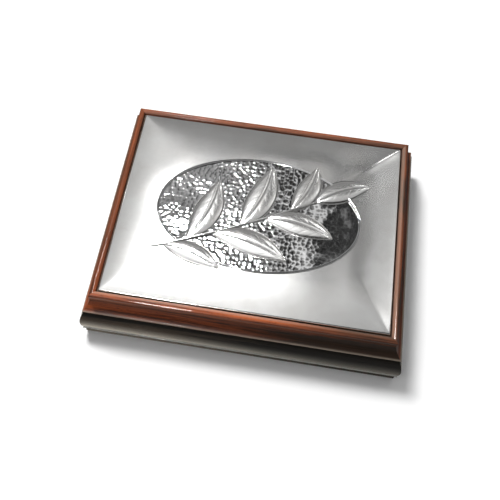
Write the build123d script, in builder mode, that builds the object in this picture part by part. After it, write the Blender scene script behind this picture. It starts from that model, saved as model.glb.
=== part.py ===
"""Hinged wooden stamp box with a pressed silver plaque let into its lid.

All sizes are in millimetres. X runs along the front of the box, Y from the front to the back
and Z up. The origin is the middle of the resting face, under the felt.
"""
import os

from build123d import *

os.makedirs("parts", exist_ok=True)

# Box as a whole: the lid is measured over its sharp lower edge, the arris
lid_length = 150.0
lid_depth = 119.0
joint_gap = 0.4
cut_overrun = 1.0

# Base: felt, bottom board that shows as a low plinth, and the moulded walls
felt_thickness = 0.8
felt_margin = 3.0
board_thickness = 5.0
plinth_reach = 0.6
plinth_edge_round = 0.4
base_rail_height = 15.2
base_wall = 7.0
base_top_recess = 0.5
bulge_reach = 1.9
bulge_foot_reach = 1.1
band_reach = 1.5
band_height = 0.9

# Lid frame: arris, cove, quirk, half-round bead and the ledge that carries the panel
arris_chamfer = 0.4
arris_height = 1.0
cove_waist = 2.6
cove_waist_height = 4.3
quirk_depth = 0.35
quirk_height = 9.2
bead_inset = 3.5
bead_radius = 1.6
bead_centre_height = 11.1
ledge_height = 5.8
ledge_width = 3.6

# Lid panel, the plaque's core and the silver sheet pressed over it
panel_thickness = 4.9
panel_play = 0.15
plaque_gap = 0.7
plaque_edge_height = 1.3
plaque_rise = 1.5
plaque_shoulder = 5.0
plaque_shoulder_rise = 0.9
plaque_margin = 14.0
sheet_thickness = 0.5

# Relief on the sheet: an oval field with a raised border, and a spray of leaves
field_half_length = 49.0
field_half_depth = 31.0
field_sink = 0.25
border_width = 1.2
border_rise = 0.45
leaf_rise = 1.1
leaf_top_share = 0.55
leaf_bow_share = 0.07
stem_width = 1.8
stem_rise = 0.7
stem_end_shares = [(-1.02, -0.87), (-0.12, -0.22), (0.61, 0.42)]
# each leaf: place along the stem, turn from the stem in degrees, length and width as shares of the field
leaf_shares = [
    (0.08, -40, 0.62, 0.34),
    (0.22, 50, 0.76, 0.42),
    (0.36, -40, 0.78, 0.42),
    (0.52, 46, 0.78, 0.43),
    (0.66, -38, 0.70, 0.40),
    (0.82, 40, 0.60, 0.36),
    (0.97, -4, 0.60, 0.38),
]

# Velvet linings and the two slips of wood that divide the stamps
lining_thickness = 0.8
lining_drop = 0.8
divider_thickness = 2.4
divider_height = 11.0
divider_top_round = 0.8
middle_compartment = 43.0

# Brass hinges
hinge_end_distance = 31.0
hinge_length = 20.0
leaf_thickness = 0.8
leaf_width = 5.2
leaf_inset = 1.0
knuckle_radius = 1.6
pin_radius = 0.7
pin_play = 0.05
pin_head_radius = 1.1
pin_head_length = 0.5
pin_outset = 1.0
knuckle_gap = 0.15
knuckle_relief = 0.4
mortise_play = 0.1
screw_spacing = 12.0
screw_length = 5.2
screw_point = 1.2
screw_shank_radius = 0.6
screw_point_radius = 0.2
screw_head_radius = 1.25
screw_head_height = 0.65
screw_slot_width = 0.35
screw_slot_depth = 0.3
screw_play = 0.02

# Levels from the table up, and the outlines that follow from the sizes above
board_bottom = felt_thickness
rail_bottom = board_bottom + board_thickness
rail_top = rail_bottom + base_rail_height
lid_bottom = rail_top + joint_gap
ledge_top = lid_bottom + ledge_height
panel_top = ledge_top + panel_thickness
cavity_length = lid_length - 2 * base_wall
cavity_depth = lid_depth - 2 * base_wall
sight_inset = bead_inset + 2 * bead_radius
sight_length = lid_length - 2 * sight_inset
sight_depth = lid_depth - 2 * sight_inset
ledge_length = sight_length - 2 * ledge_width
ledge_depth = sight_depth - 2 * ledge_width
pin_y = lid_depth / 2 + pin_outset
pin_z = rail_top + joint_gap / 2
leaf_y = lid_depth / 2 - leaf_inset - leaf_width / 2
hinge_places = (hinge_end_distance - lid_length / 2, lid_length / 2 - hinge_end_distance)
up = Vector(0, 0, 1)

# The four sides: which way each faces, how far out it is and half its own length
sides = {
    "front": (Vector(0, -1, 0), lid_depth / 2, lid_length / 2),
    "back": (Vector(0, 1, 0), lid_depth / 2, lid_length / 2),
    "left": (Vector(-1, 0, 0), lid_length / 2, lid_depth / 2),
    "right": (Vector(1, 0, 0), lid_length / 2, lid_depth / 2),
}


def save(builder, name):
    """Label a finished piece and write it out."""
    builder.part.label = name
    export_step(builder.part, f"parts/{name}.step")


def section_plane(outward):
    """Upright plane across a rail: its own x points out of the box and its own y points up."""
    return Plane(origin=(0, 0, 0), x_dir=outward, z_dir=outward.cross(up))


def cut_mitres(outward, reach, half_run):
    """Trim both ends of the rail in hand to 45 degrees, through the corners of the lid."""
    along = outward.cross(up)
    for end in (along, -along):
        corner = outward * reach + end * half_run
        split(bisect_by=Plane(origin=corner, z_dir=end - outward), keep=Keep.BOTTOM)


def cut_hinge_seats(mortise_floor, opening_up):
    """Sink the two leaf mortises, the knuckle reliefs and the pilot holes into a back rail."""
    depth_align = Align.MIN if opening_up else Align.MAX
    for x in hinge_places:
        with Locations((x, leaf_y, mortise_floor)):
            Box(
                hinge_length + 2 * mortise_play,
                leaf_width + 2 * mortise_play,
                leaf_thickness + cut_overrun,
                align=(Align.CENTER, Align.CENTER, depth_align),
                mode=Mode.SUBTRACT,
            )
        with Locations(Location((x, pin_y, pin_z), (0, 90, 0))):
            Cylinder(
                knuckle_radius + knuckle_relief,
                hinge_length + 2 * (pin_head_length + knuckle_relief),
                mode=Mode.SUBTRACT,
            )
        with Locations((x, leaf_y, mortise_floor)):
            Box(
                hinge_length + 2 * mortise_play,
                leaf_width + 2 * leaf_inset,
                leaf_thickness + cut_overrun,
                align=(Align.CENTER, Align.MIN, depth_align),
                mode=Mode.SUBTRACT,
            )


# Base rails: mitred walls with a swelling outer face over a thin square band
def base_rail(outward, reach, half_run):
    with BuildPart() as rail:
        with BuildSketch(section_plane(outward)):
            with BuildLine():
                top_edge = (reach - base_top_recess, rail_top)
                belly = (reach + bulge_reach, (rail_top + rail_bottom + band_height) / 2)
                foot = (reach + bulge_foot_reach, rail_bottom + band_height)
                ThreePointArc(top_edge, belly, foot)
                Polyline(
                    foot,
                    (reach + band_reach, rail_bottom + band_height),
                    (reach + band_reach, rail_bottom),
                    (reach - base_wall, rail_bottom),
                    (reach - base_wall, rail_top),
                    top_edge,
                )
            make_face()
        extrude(amount=half_run + bulge_reach + cut_overrun, both=True)
        cut_mitres(outward, reach, half_run)
    return rail


# Lid rails: arris, cove, quirk and bead outside, and a ledge for the panel inside
def lid_rail(outward, reach, half_run):
    with BuildPart() as rail:
        with BuildSketch(section_plane(outward)):
            with BuildLine():
                arris = (reach, lid_bottom + arris_height)
                waist = (reach - cove_waist, lid_bottom + cove_waist_height)
                quirk = (reach - bead_inset - quirk_depth, lid_bottom + quirk_height)
                bead_out = (reach - bead_inset, lid_bottom + bead_centre_height)
                bead_crest = (reach - bead_inset - bead_radius, lid_bottom + bead_centre_height + bead_radius)
                bead_in = (reach - sight_inset, lid_bottom + bead_centre_height)
                ThreePointArc(arris, waist, quirk)
                Polyline(quirk, (reach - bead_inset, lid_bottom + quirk_height + quirk_depth), bead_out)
                ThreePointArc(bead_out, bead_crest, bead_in)
                Polyline(
                    bead_in,
                    (reach - sight_inset, ledge_top),
                    (reach - sight_inset - ledge_width, ledge_top),
                    (reach - sight_inset - ledge_width, lid_bottom),
                    (reach - arris_chamfer, lid_bottom),
                    (reach, lid_bottom + arris_chamfer),
                    arris,
                )
            make_face()
        extrude(amount=half_run + cut_overrun, both=True)
        cut_mitres(outward, reach, half_run)
    return rail


def screw_shape(play, mode):
    """Countersunk wood screw, or its hole: the head's face is at the local origin, the point along Z."""
    from_base = (Align.CENTER, Align.CENTER, Align.MIN)
    shank = screw_shank_radius + play
    Cone(screw_head_radius + play, shank, screw_head_height, align=from_base, mode=mode)
    Cylinder(shank, screw_length - screw_point, align=from_base, mode=mode)
    with Locations((0, 0, screw_length - screw_point)):
        Cone(shank, screw_point_radius + play, screw_point + play, align=from_base, mode=mode)


def screw_places(face_z, into):
    """Places of a leaf's screws for both hinges, each turned so that its own Z points into the wood."""
    turn = (180, 0, 0) if into == "down" else (0, 0, 0)
    places = []
    for hinge_x in hinge_places:
        for shift in (-screw_spacing / 2, screw_spacing / 2):
            places.append(Location((hinge_x + shift, leaf_y, face_z), turn))
    return places


base_screw_places = screw_places(rail_top, "down")
lid_screw_places = screw_places(lid_bottom, "up")

for side, (outward, reach, half_run) in sides.items():
    base_side = base_rail(outward, reach, half_run)
    lid_side = lid_rail(outward, reach, half_run)
    if side == "back":
        with base_side:
            cut_hinge_seats(rail_top - leaf_thickness, True)
            with Locations(*base_screw_places):
                screw_shape(screw_play, Mode.SUBTRACT)
        with lid_side:
            cut_hinge_seats(lid_bottom + leaf_thickness, False)
            with Locations(*lid_screw_places):
                screw_shape(screw_play, Mode.SUBTRACT)
    save(base_side, f"base_rail_{side}")
    save(lid_side, f"lid_rail_{side}")

# Bottom board, whose edge shows under the walls as a low plinth
with BuildPart() as bottom_board:
    with BuildSketch(Plane.XY.offset(board_bottom)):
        Rectangle(lid_length + 2 * plinth_reach, lid_depth + 2 * plinth_reach)
    extrude(amount=board_thickness)
    chamfer(bottom_board.faces().sort_by(Axis.Z)[0].edges(), plinth_edge_round)
save(bottom_board, "bottom_board")

# Felt under the board, which is what the box rests on
with BuildPart() as base_felt:
    with BuildSketch():
        Rectangle(
            lid_length + 2 * plinth_reach - 2 * felt_margin,
            lid_depth + 2 * plinth_reach - 2 * felt_margin,
        )
    extrude(amount=felt_thickness)
save(base_felt, "base_felt")

# Velvet on the floor and on the four walls
with BuildPart() as floor_lining:
    with BuildSketch(Plane.XY.offset(rail_bottom)):
        Rectangle(cavity_length, cavity_depth)
    extrude(amount=lining_thickness)
save(floor_lining, "floor_lining")

floor_top = rail_bottom + lining_thickness
lining_height = rail_top - lining_drop - floor_top
inner_length = cavity_length - 2 * lining_thickness
inner_depth = cavity_depth - 2 * lining_thickness


def wall_lining(centre_x, centre_y, size_x, size_y):
    with BuildPart() as lining:
        with BuildSketch(Plane.XY.offset(floor_top)):
            with Locations((centre_x, centre_y)):
                Rectangle(size_x, size_y)
        extrude(amount=lining_height)
    return lining


lining_y = (cavity_depth - lining_thickness) / 2
lining_x = (cavity_length - lining_thickness) / 2
save(wall_lining(0, -lining_y, cavity_length, lining_thickness), "wall_lining_front")
save(wall_lining(0, lining_y, cavity_length, lining_thickness), "wall_lining_back")
save(wall_lining(-lining_x, 0, lining_thickness, inner_depth), "wall_lining_left")
save(wall_lining(lining_x, 0, lining_thickness, inner_depth), "wall_lining_right")


# Dividers: two slips of wood with rounded top edges, held between the front and back linings
def divider(centre_x):
    with BuildPart() as slip:
        with BuildSketch(Plane.XY.offset(floor_top)):
            with Locations((centre_x, 0)):
                Rectangle(divider_thickness, inner_depth)
        extrude(amount=divider_height)
        fillet(slip.faces().sort_by(Axis.Z)[-1].edges().filter_by(Axis.Y), divider_top_round)
    return slip


divider_x = (middle_compartment + divider_thickness) / 2
save(divider(-divider_x), "divider_left")
save(divider(divider_x), "divider_right")

# Lid panel on the ledge, and the velvet under it
with BuildPart() as lid_panel:
    with BuildSketch(Plane.XY.offset(ledge_top)):
        Rectangle(sight_length - 2 * panel_play, sight_depth - 2 * panel_play)
    extrude(amount=panel_thickness)
save(lid_panel, "lid_panel")

with BuildPart() as lid_lining:
    with BuildSketch(Plane.XY.offset(ledge_top - lining_thickness)):
        Rectangle(ledge_length, ledge_depth)
    extrude(amount=lining_thickness)
save(lid_lining, "lid_lining")


# Pillow shape of the plaque: upright edge, quick shoulder, then a slow rise whose corners are mitred
def pillow(length, depth, drop):
    levels = [
        (0, panel_top + plaque_edge_height - drop),
        (plaque_shoulder, panel_top + plaque_edge_height + plaque_shoulder_rise - drop),
        (plaque_margin, panel_top + plaque_edge_height + plaque_rise - drop),
    ]
    with BuildPart() as form:
        with BuildSketch(Plane.XY.offset(panel_top)):
            Rectangle(length, depth)
        extrude(amount=plaque_edge_height - drop)
        for (lower_in, lower_z), (upper_in, upper_z) in zip(levels, levels[1:]):
            with BuildSketch(Plane.XY.offset(lower_z)):
                Rectangle(length - 2 * lower_in, depth - 2 * lower_in)
            with BuildSketch(Plane.XY.offset(upper_z)):
                Rectangle(length - 2 * upper_in, depth - 2 * upper_in)
            loft(ruled=True)
    return form


plaque_length = sight_length - 2 * plaque_gap
plaque_depth = sight_depth - 2 * plaque_gap
core_length = plaque_length - 2 * sheet_thickness
core_depth = plaque_depth - 2 * sheet_thickness
relief_root = panel_top + plaque_edge_height
ground_z = relief_root + plaque_rise

plaque_core = pillow(core_length, core_depth, sheet_thickness)
save(plaque_core, "plaque_core")


# Outline of a bowed leaf from the start along its own X: two arcs that meet at the stalk and at the tip
def leaf_outline(start, level, angle, length, width, bow, share):
    with BuildSketch(Plane(Location((start.X, start.Y, level), (0, 0, angle)))) as outline:
        with BuildLine():
            stalk = (length * (1 - share) / 2, bow * (1 - share))
            tip = (length * (1 + share) / 2, bow * (1 - share))
            ThreePointArc(stalk, (length / 2, bow + width * share / 2), tip)
            ThreePointArc(tip, (length / 2, bow - width * share / 2), stalk)
        make_face()
    return outline.sketch.face()


# Raised leaf: upright up to the ground of the sheet, then drawn in towards its middle
def relief_leaf(start, angle, length, width, bow):
    with BuildPart() as form:
        add(leaf_outline(start, relief_root, angle, length, width, bow, 1))
        extrude(amount=plaque_rise)
        foot = leaf_outline(start, ground_z, angle, length, width, bow, 1)
        crown = leaf_outline(start, ground_z + leaf_rise, angle, length, width, bow, leaf_top_share)
        loft([foot, crown], ruled=True)
    return form


# Silver sheet: the pillow with its relief, hollow where the core fills it
stem_ends = [(x * field_half_length, y * field_half_depth) for x, y in stem_end_shares]
with BuildPart() as silver_plaque:
    add(pillow(plaque_length, plaque_depth, 0).part)
    with BuildSketch(Plane.XY.offset(ground_z)):
        Ellipse(field_half_length, field_half_depth)
    extrude(amount=-field_sink, mode=Mode.SUBTRACT)
    with BuildSketch(Plane.XY.offset(ground_z - field_sink)):
        Ellipse(field_half_length + border_width, field_half_depth + border_width)
        Ellipse(field_half_length, field_half_depth, mode=Mode.SUBTRACT)
    extrude(amount=field_sink + border_rise)
    with BuildLine(mode=Mode.PRIVATE) as stem:
        stem_line = ThreePointArc(*stem_ends)
    with BuildSketch(Plane.XY.offset(relief_root)):
        SlotArc(stem_line, stem_width)
    extrude(amount=plaque_rise + stem_rise)
    for place, turn, length_share, width_share in leaf_shares:
        heading = stem_line % place
        angle = Vector(1, 0, 0).get_signed_angle(heading, up) + turn
        leaf_length = length_share * field_half_length
        leaf_breadth = width_share * field_half_depth
        bow = -leaf_bow_share * leaf_length if turn > 0 else leaf_bow_share * leaf_length
        add(relief_leaf(stem_line @ place, angle, leaf_length, leaf_breadth, bow).part)
    add(plaque_core.part, mode=Mode.SUBTRACT)
save(silver_plaque, "silver_plaque")


# Hinge leaf: plate in its mortise, with the knuckles that are its own
def hinge_leaf(hinge_x, plate_bottom, knuckles, screw_centres):
    with BuildPart() as leaf:
        with BuildSketch(Plane.XY.offset(plate_bottom)):
            with Locations((hinge_x, leaf_y)):
                Rectangle(hinge_length, leaf_width)
        extrude(amount=leaf_thickness)
        for low_x, high_x in knuckles:
            with BuildSketch(Plane.XY.offset(plate_bottom)):
                with Locations((hinge_x + low_x, leaf_y)):
                    Rectangle(high_x - low_x, pin_y - leaf_y, align=(Align.MIN, Align.MIN))
            extrude(amount=leaf_thickness)
            with BuildSketch(Plane.YZ.offset(hinge_x + low_x)):
                with Locations((pin_y, pin_z)):
                    Circle(knuckle_radius)
            extrude(amount=high_x - low_x)
        with BuildSketch(Plane.YZ.offset(hinge_x - hinge_length / 2 - cut_overrun)):
            with Locations((pin_y, pin_z)):
                Circle(pin_radius + pin_play)
        extrude(amount=hinge_length + 2 * cut_overrun, mode=Mode.SUBTRACT)
        with Locations(*screw_centres):
            screw_shape(screw_play, Mode.SUBTRACT)
    return leaf


def hinge_pin(hinge_x):
    with BuildPart() as pin:
        with BuildSketch(Plane.YZ.offset(hinge_x - hinge_length / 2 - pin_play)):
            with Locations((pin_y, pin_z)):
                Circle(pin_radius)
        extrude(amount=hinge_length + 2 * pin_play)
        for end in (-1, 1):
            with BuildSketch(Plane.YZ.offset(hinge_x + end * (hinge_length / 2 + pin_play))):
                with Locations((pin_y, pin_z)):
                    Circle(pin_head_radius)
            extrude(amount=end * pin_head_length)
    return pin


third = hinge_length / 6
base_knuckles = [
    (-hinge_length / 2, -third - knuckle_gap / 2),
    (third + knuckle_gap / 2, hinge_length / 2),
]
lid_knuckles = [(-third + knuckle_gap / 2, third - knuckle_gap / 2)]
for hinge, hinge_x in zip(("left", "right"), hinge_places):
    base_leaf = hinge_leaf(hinge_x, rail_top - leaf_thickness, base_knuckles, base_screw_places)
    lid_leaf = hinge_leaf(hinge_x, lid_bottom, lid_knuckles, lid_screw_places)
    save(base_leaf, f"hinge_{hinge}_base_leaf")
    save(lid_leaf, f"hinge_{hinge}_lid_leaf")
    save(hinge_pin(hinge_x), f"hinge_{hinge}_pin")


# Hinge screws: countersunk, slotted and pointed
def hinge_screws(places):
    with BuildPart() as screws:
        with Locations(*places):
            screw_shape(0, Mode.ADD)
            Box(
                2 * screw_head_radius + cut_overrun,
                screw_slot_width,
                screw_slot_depth,
                align=(Align.CENTER, Align.CENTER, Align.MIN),
                mode=Mode.SUBTRACT,
            )
    return screws


save(hinge_screws(base_screw_places), "base_hinge_screws")
save(hinge_screws(lid_screw_places), "lid_hinge_screws")
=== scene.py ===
# %% [markdown]
# # A stamp box of lacquered mahogany with a pressed silver plaque
#
# The box is low and wide. Its walls and its lid are moulded rails that meet in mitres at the corners,
# and a thin sheet of silver, pressed over a filler, lies in the frame of the lid. The construction
# comes packed as a fixed frame of named nodes. This lesson gives it its finish: each moulding and the
# sheet are worked out again as smooth surfaces, the velvet and the felt are made as cloth, and every
# surface gets a material made of nodes.
#
# We load the frame first and keep its outer size, because nothing that we add may grow past it.

import math

import bpy
import numpy as np
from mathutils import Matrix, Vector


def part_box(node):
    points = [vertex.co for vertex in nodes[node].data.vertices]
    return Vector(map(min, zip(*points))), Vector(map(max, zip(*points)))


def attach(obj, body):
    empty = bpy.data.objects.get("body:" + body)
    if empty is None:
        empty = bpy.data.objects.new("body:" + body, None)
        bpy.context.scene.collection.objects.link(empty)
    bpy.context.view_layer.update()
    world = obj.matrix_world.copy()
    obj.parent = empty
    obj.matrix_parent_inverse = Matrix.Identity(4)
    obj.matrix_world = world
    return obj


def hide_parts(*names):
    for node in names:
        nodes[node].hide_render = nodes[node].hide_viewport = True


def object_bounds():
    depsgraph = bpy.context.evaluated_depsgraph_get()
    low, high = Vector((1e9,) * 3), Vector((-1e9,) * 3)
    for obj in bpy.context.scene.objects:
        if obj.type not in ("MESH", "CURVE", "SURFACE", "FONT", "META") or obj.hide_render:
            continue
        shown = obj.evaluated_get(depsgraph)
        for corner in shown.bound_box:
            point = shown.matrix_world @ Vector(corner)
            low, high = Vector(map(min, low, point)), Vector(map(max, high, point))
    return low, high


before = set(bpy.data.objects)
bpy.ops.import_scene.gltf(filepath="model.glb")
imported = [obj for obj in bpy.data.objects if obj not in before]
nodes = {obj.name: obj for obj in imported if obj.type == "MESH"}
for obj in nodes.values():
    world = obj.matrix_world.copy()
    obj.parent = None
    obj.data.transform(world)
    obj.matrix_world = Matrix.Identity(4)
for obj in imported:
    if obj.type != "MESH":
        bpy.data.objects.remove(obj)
cad_low, cad_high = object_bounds()
print("nodes in the frame:", len(nodes), "size:", [round(v, 5) for v in cad_high - cad_low])

# %% [markdown]
# ## Sizes
#
# A piece that stands for a node has to be where that node is, so the main sizes are read from the
# nodes' boxes. The lid rails give the lid's length, depth and lower edge. The other values describe
# the mouldings, in metres, as their maker would write them down.

# %% Sizes read from the frame
MM = 0.001

front_low, front_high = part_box("lid_rail_front")
base_low, base_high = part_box("base_rail_front")
plaque_low, plaque_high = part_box("silver_plaque")
lid_half_length = front_high.x
lid_half_depth = -front_low.y
lid_bottom = front_low.z
rail_bottom = base_low.z
rail_top = base_high.z
print("lid in mm:", round(2 * lid_half_length / MM, 1), "by", round(2 * lid_half_depth / MM, 1))

# %% [markdown]
# ## Helpers for meshes
#
# Every surface here is a grid: a function of two parameters worked out for all points at once. One
# helper turns a grid into the index list of its quads, one joins several grids, one puts points and
# quads into a mesh, and one turns a closed mesh right side out. The last two make a piece ride on its
# body and stand for its node, and keep numbers on its points.

# %% Grids and pieces
def grid_quads(rows, columns, wrap_columns=False):
    """Corner indices of a grid's quads: point (i, j) has the number i times columns plus j."""
    cells = columns if wrap_columns else columns - 1
    i, j = np.meshgrid(np.arange(rows - 1), np.arange(cells), indexing="ij")
    right = (j + 1) % columns
    corners = (i * columns + j, (i + 1) * columns + j, (i + 1) * columns + right, i * columns + right)
    return np.stack(corners, -1).reshape(-1, 4)


def join_grids(grids):
    """Points and quads of several grids as one list, each grid's numbers moved past those before it."""
    starts = np.cumsum([0] + [len(points) for points, _ in grids[:-1]])
    points = np.concatenate([points for points, _ in grids])
    quads = np.concatenate([quads + start for (_, quads), start in zip(grids, starts)])
    return points, quads


def make_mesh(name, points, faces, caps=(), sharp_degrees=50):
    """A mesh from points, quads and many-sided caps, smooth but for edges past sharp_degrees."""
    mesh = bpy.data.meshes.new(name)
    mesh.from_pydata(points.tolist(), [], faces.tolist() + [list(cap) for cap in caps])
    mesh.shade_smooth()
    mesh.set_sharp_from_angle(angle=math.radians(sharp_degrees))
    mesh.validate()
    piece = bpy.data.objects.new(name, mesh)
    bpy.context.scene.collection.objects.link(piece)
    return piece


def turn_faces_outwards(piece):
    """Flip a closed piece whose volume, the sum of a . (b x c) / 6 over its triangles, is negative."""
    mesh = piece.data
    mesh.calc_loop_triangles()
    places = np.zeros(len(mesh.vertices) * 3)
    mesh.vertices.foreach_get("co", places)
    places = places.reshape(-1, 3)
    triangles = np.zeros(len(mesh.loop_triangles) * 3, int)
    mesh.loop_triangles.foreach_get("vertices", triangles)
    a, b, c = places[triangles.reshape(-1, 3)].transpose(1, 0, 2) - places[0]
    if np.einsum("ij,ij->", a, np.cross(b, c)) < 0:
        mesh.flip_normals()


def finish_piece(piece, body, stands_for, material):
    """Give a piece its material and its body, and hide the node that it stands for."""
    piece.data.materials.clear()
    piece.data.materials.append(material)
    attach(piece, body)
    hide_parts(stands_for)
    print(f"{piece.name}: {len(piece.data.polygons)} faces on {body}")


def store(piece, name, values, kind="FLOAT", field="value"):
    """Keep one number, or one vector, for each point under a name that a material can read."""
    attribute = piece.data.attributes.new(name, kind, "POINT")
    attribute.data.foreach_set(field, np.ascontiguousarray(values, np.float32).ravel())


# %% [markdown]
# ## Shapes by formula
#
# Nothing made by hand is quite flat. A sum of plane waves of about the same length, each in its own
# seeded direction, gives a gentle unevenness that is the same on every run. Two more formulas serve
# everywhere below: a smooth step, for one finish that passes into another, and a bell, for a line.

# %% Ripples, steps and bells
def ripple(x, y, wavelength, seed, waves=14):
    """Sum of waves cos(k.p + phase) with |k| near 2 pi / wavelength, scaled to stay near -1 to 1."""
    random = np.random.default_rng(seed)
    headings = random.uniform(0, 2 * np.pi, waves)
    wave_numbers = 2 * np.pi / (wavelength * random.uniform(0.7, 1.5, waves))
    phases = random.uniform(0, 2 * np.pi, waves)
    total = np.zeros(np.broadcast(x, y).shape)
    for k, a, p in zip(wave_numbers, headings, phases):
        total += np.cos(k * (x * np.cos(a) + y * np.sin(a)) + p)
    return total / math.sqrt(waves) / 1.5


def step(value, low, high):
    """Smooth step from 0 at low to 1 at high: t^2 (3 - 2 t)."""
    t = np.clip((value - low) / (high - low), 0, 1)
    return t * t * (3 - 2 * t)


def bell(value, centre, width):
    """Bell of height 1 round a centre: exp(-((value - centre) / width)^2)."""
    return np.exp(-(((value - centre) / width) ** 2))


sample = ripple(np.linspace(0, 1, 400), 0, 0.1, seed=1)
print("a ripple runs from", round(sample.min(), 2), "to", round(sample.max(), 2))

# %% [markdown]
# ## Nodes for materials
#
# A material is a small graph. One helper adds a node with its settings and inputs, where an input is
# either a value or the socket that feeds it. Another opens a node group with named sockets, for the
# effects that several materials share.

# %% Node helpers
def feed(tree, socket, value):
    """Link an input to the socket that feeds it, or set it to a plain value."""
    if isinstance(value, bpy.types.NodeSocket):
        tree.links.new(value, socket)
    else:
        socket.default_value = value


def put(tree, kind, inputs=None, **settings):
    """Add a node; inputs go by name or number, each a value or a socket to link from."""
    node = tree.nodes.new(kind)
    for name, value in settings.items():
        setattr(node, name, value)
    for name, value in (inputs or {}).items():
        feed(tree, node.inputs[name], value)
    return node


def new_group(name, inputs, outputs):
    """Open a shader node group; inputs are (name, kind, default) and outputs (name, kind)."""
    tree = bpy.data.node_groups.new(name, "ShaderNodeTree")
    for socket_name, kind, default in inputs:
        socket = tree.interface.new_socket(name=socket_name, in_out="INPUT", socket_type=kind)
        socket.default_value = default
    for socket_name, kind in outputs:
        tree.interface.new_socket(name=socket_name, in_out="OUTPUT", socket_type=kind)
    return tree, tree.nodes.new("NodeGroupInput").outputs, tree.nodes.new("NodeGroupOutput").inputs


def new_material(name):
    """A material with one Principled shader, returned with its tree and that shader."""
    material = bpy.data.materials.new(name)
    material.use_nodes = True
    tree = material.node_tree
    return material, tree, tree.nodes["Principled BSDF"]


def set_shader(tree, shader, **values):
    """Set the shader's sockets; underscores in a name stand for spaces."""
    for name, value in values.items():
        feed(tree, shader.inputs[name.replace("_", " ")], value)


# %% [markdown]
# A few kinds of node come back in every material, and each gets a short name of its own, so that a
# material reads as a recipe and not as wiring. Arithmetic comes first.

# %% Arithmetic nodes
def math_node(tree, operation, first, second=0.0):
    """One step of arithmetic on two values or sockets."""
    return put(tree, "ShaderNodeMath", {0: first, 1: second}, operation=operation).outputs[0]


def times(tree, first, second):
    """The product of two values or sockets."""
    return math_node(tree, "MULTIPLY", first, second)


def plus(tree, first, second):
    """The sum of two values or sockets."""
    return math_node(tree, "ADD", first, second)


def minus(tree, first, second):
    """The first value or socket less the second."""
    return math_node(tree, "SUBTRACT", first, second)


def remap(tree, value, low, high, to_low=0.0, to_high=1.0):
    """A value moved from one range to another and held there."""
    sockets = {"Value": value, "From Min": low, "From Max": high, "To Min": to_low, "To Max": to_high}
    return put(tree, "ShaderNodeMapRange", sockets).outputs["Result"]


# %% [markdown]
# The next ones give a pattern, turn numbers into colours, mix two colours, and dent the surface. The
# last two read where a point lies, or what a piece keeps on its points.

# %% Noise, colour and bump nodes
def noise(tree, vector, scales, detail=4.0, roughness=0.55, distortion=0.0):
    """Noise from 0 to 1 at a vector that is first multiplied by a scale along each axis."""
    scaled = put(tree, "ShaderNodeVectorMath", {0: vector, 1: scales}, operation="MULTIPLY").outputs[0]
    sockets = {"Scale": 1.0, "Detail": detail, "Roughness": roughness, "Distortion": distortion}
    return put(tree, "ShaderNodeTexNoise", {"Vector": scaled, **sockets}).outputs["Fac"]


def mix_colour(tree, factor, first, second):
    """Two colours mixed by a factor."""
    node = put(tree, "ShaderNodeMix", data_type="RGBA", blend_type="MIX")
    for number, value in ((0, factor), (6, first), (7, second)):
        feed(tree, node.inputs[number], value)
    return node.outputs[2]


def ramp(tree, factor, stops):
    """A colour ramp through (place, colour) stops."""
    node = put(tree, "ShaderNodeValToRGB", {"Fac": factor})
    elements = node.color_ramp.elements
    for stop_place, _ in stops[1:-1]:
        elements.new(stop_place)
    for element, (stop_place, colour) in zip(elements, stops):
        element.position = stop_place
        element.color = (*colour, 1.0)
    return node.outputs["Color"]


def dented(tree, height, strength, distance):
    """The surface's normal, tilted by a height that is distance metres deep."""
    sockets = {"Height": height, "Strength": strength, "Distance": distance}
    return put(tree, "ShaderNodeBump", sockets).outputs["Normal"]


def stored(tree, name, output="Fac"):
    """What a piece keeps on its points under a name."""
    return put(tree, "ShaderNodeAttribute", attribute_name=name).outputs[output]


def object_place(tree):
    """Where a point lies, in the object's own coordinates."""
    return put(tree, "ShaderNodeTexCoord").outputs["Object"]


# %% [markdown]
# ## Mahogany
#
# Mahogany is a red-brown wood whose grain runs the length of a rail. Close up it has three things to
# show: broad bands that drift in tone, fine streaks many times longer than wide, and short dark pores.
# All three are noise stretched along the first axis of a vector that says where in the plank a point
# lies. The rails carry that vector as an attribute, so the grain follows each rail round the corner,
# and flat boards use their object coordinates. Over the figure lie a dark colour, partly a stain that
# soaks in unevenly and partly painted shade, and a pale colour, partly rubbed wear and partly painted
# highlight.

# %% Wood figure as a node group
wood, wood_in, wood_out = new_group(
    "mahogany_figure",
    [
        ("Place", "NodeSocketVector", (0, 0, 0)),
        ("Light", "NodeSocketColor", (0.50, 0.17, 0.07, 1)),
        ("Middle", "NodeSocketColor", (0.27, 0.08, 0.03, 1)),
        ("Dark", "NodeSocketColor", (0.035, 0.010, 0.006, 1)),
        ("Stain And Shade", "NodeSocketFloat", 0.0),
        ("Stain And Shade Color", "NodeSocketColor", (0.030, 0.020, 0.014, 1)),
        ("Wear And Highlight", "NodeSocketFloat", 0.0),
        ("Wear And Highlight Color", "NodeSocketColor", (0.50, 0.41, 0.33, 1)),
    ],
    [("Color", "NodeSocketColor"), ("Roughness", "NodeSocketFloat"), ("Height", "NodeSocketFloat")],
)
bands = noise(wood, wood_in["Place"], (16, 190, 190), detail=3, distortion=0.6)
streaks = noise(wood, wood_in["Place"], (45, 1500, 1500), detail=5, roughness=0.62, distortion=0.3)
pores = noise(wood, wood_in["Place"], (420, 4200, 4200), detail=2, roughness=0.5)
pore_mask = remap(wood, pores, 0.60, 0.68)
tone = plus(wood, times(wood, bands, 0.55), times(wood, streaks, 0.45))
plain = mix_colour(wood, remap(wood, tone, 0.40, 0.62), wood_in["Middle"], wood_in["Light"])
streaked = mix_colour(wood, remap(wood, tone, 0.36, 0.47, 1.0, 0.0), plain, wood_in["Dark"])
pored = mix_colour(wood, times(wood, pore_mask, 0.7), streaked, wood_in["Dark"])
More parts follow.
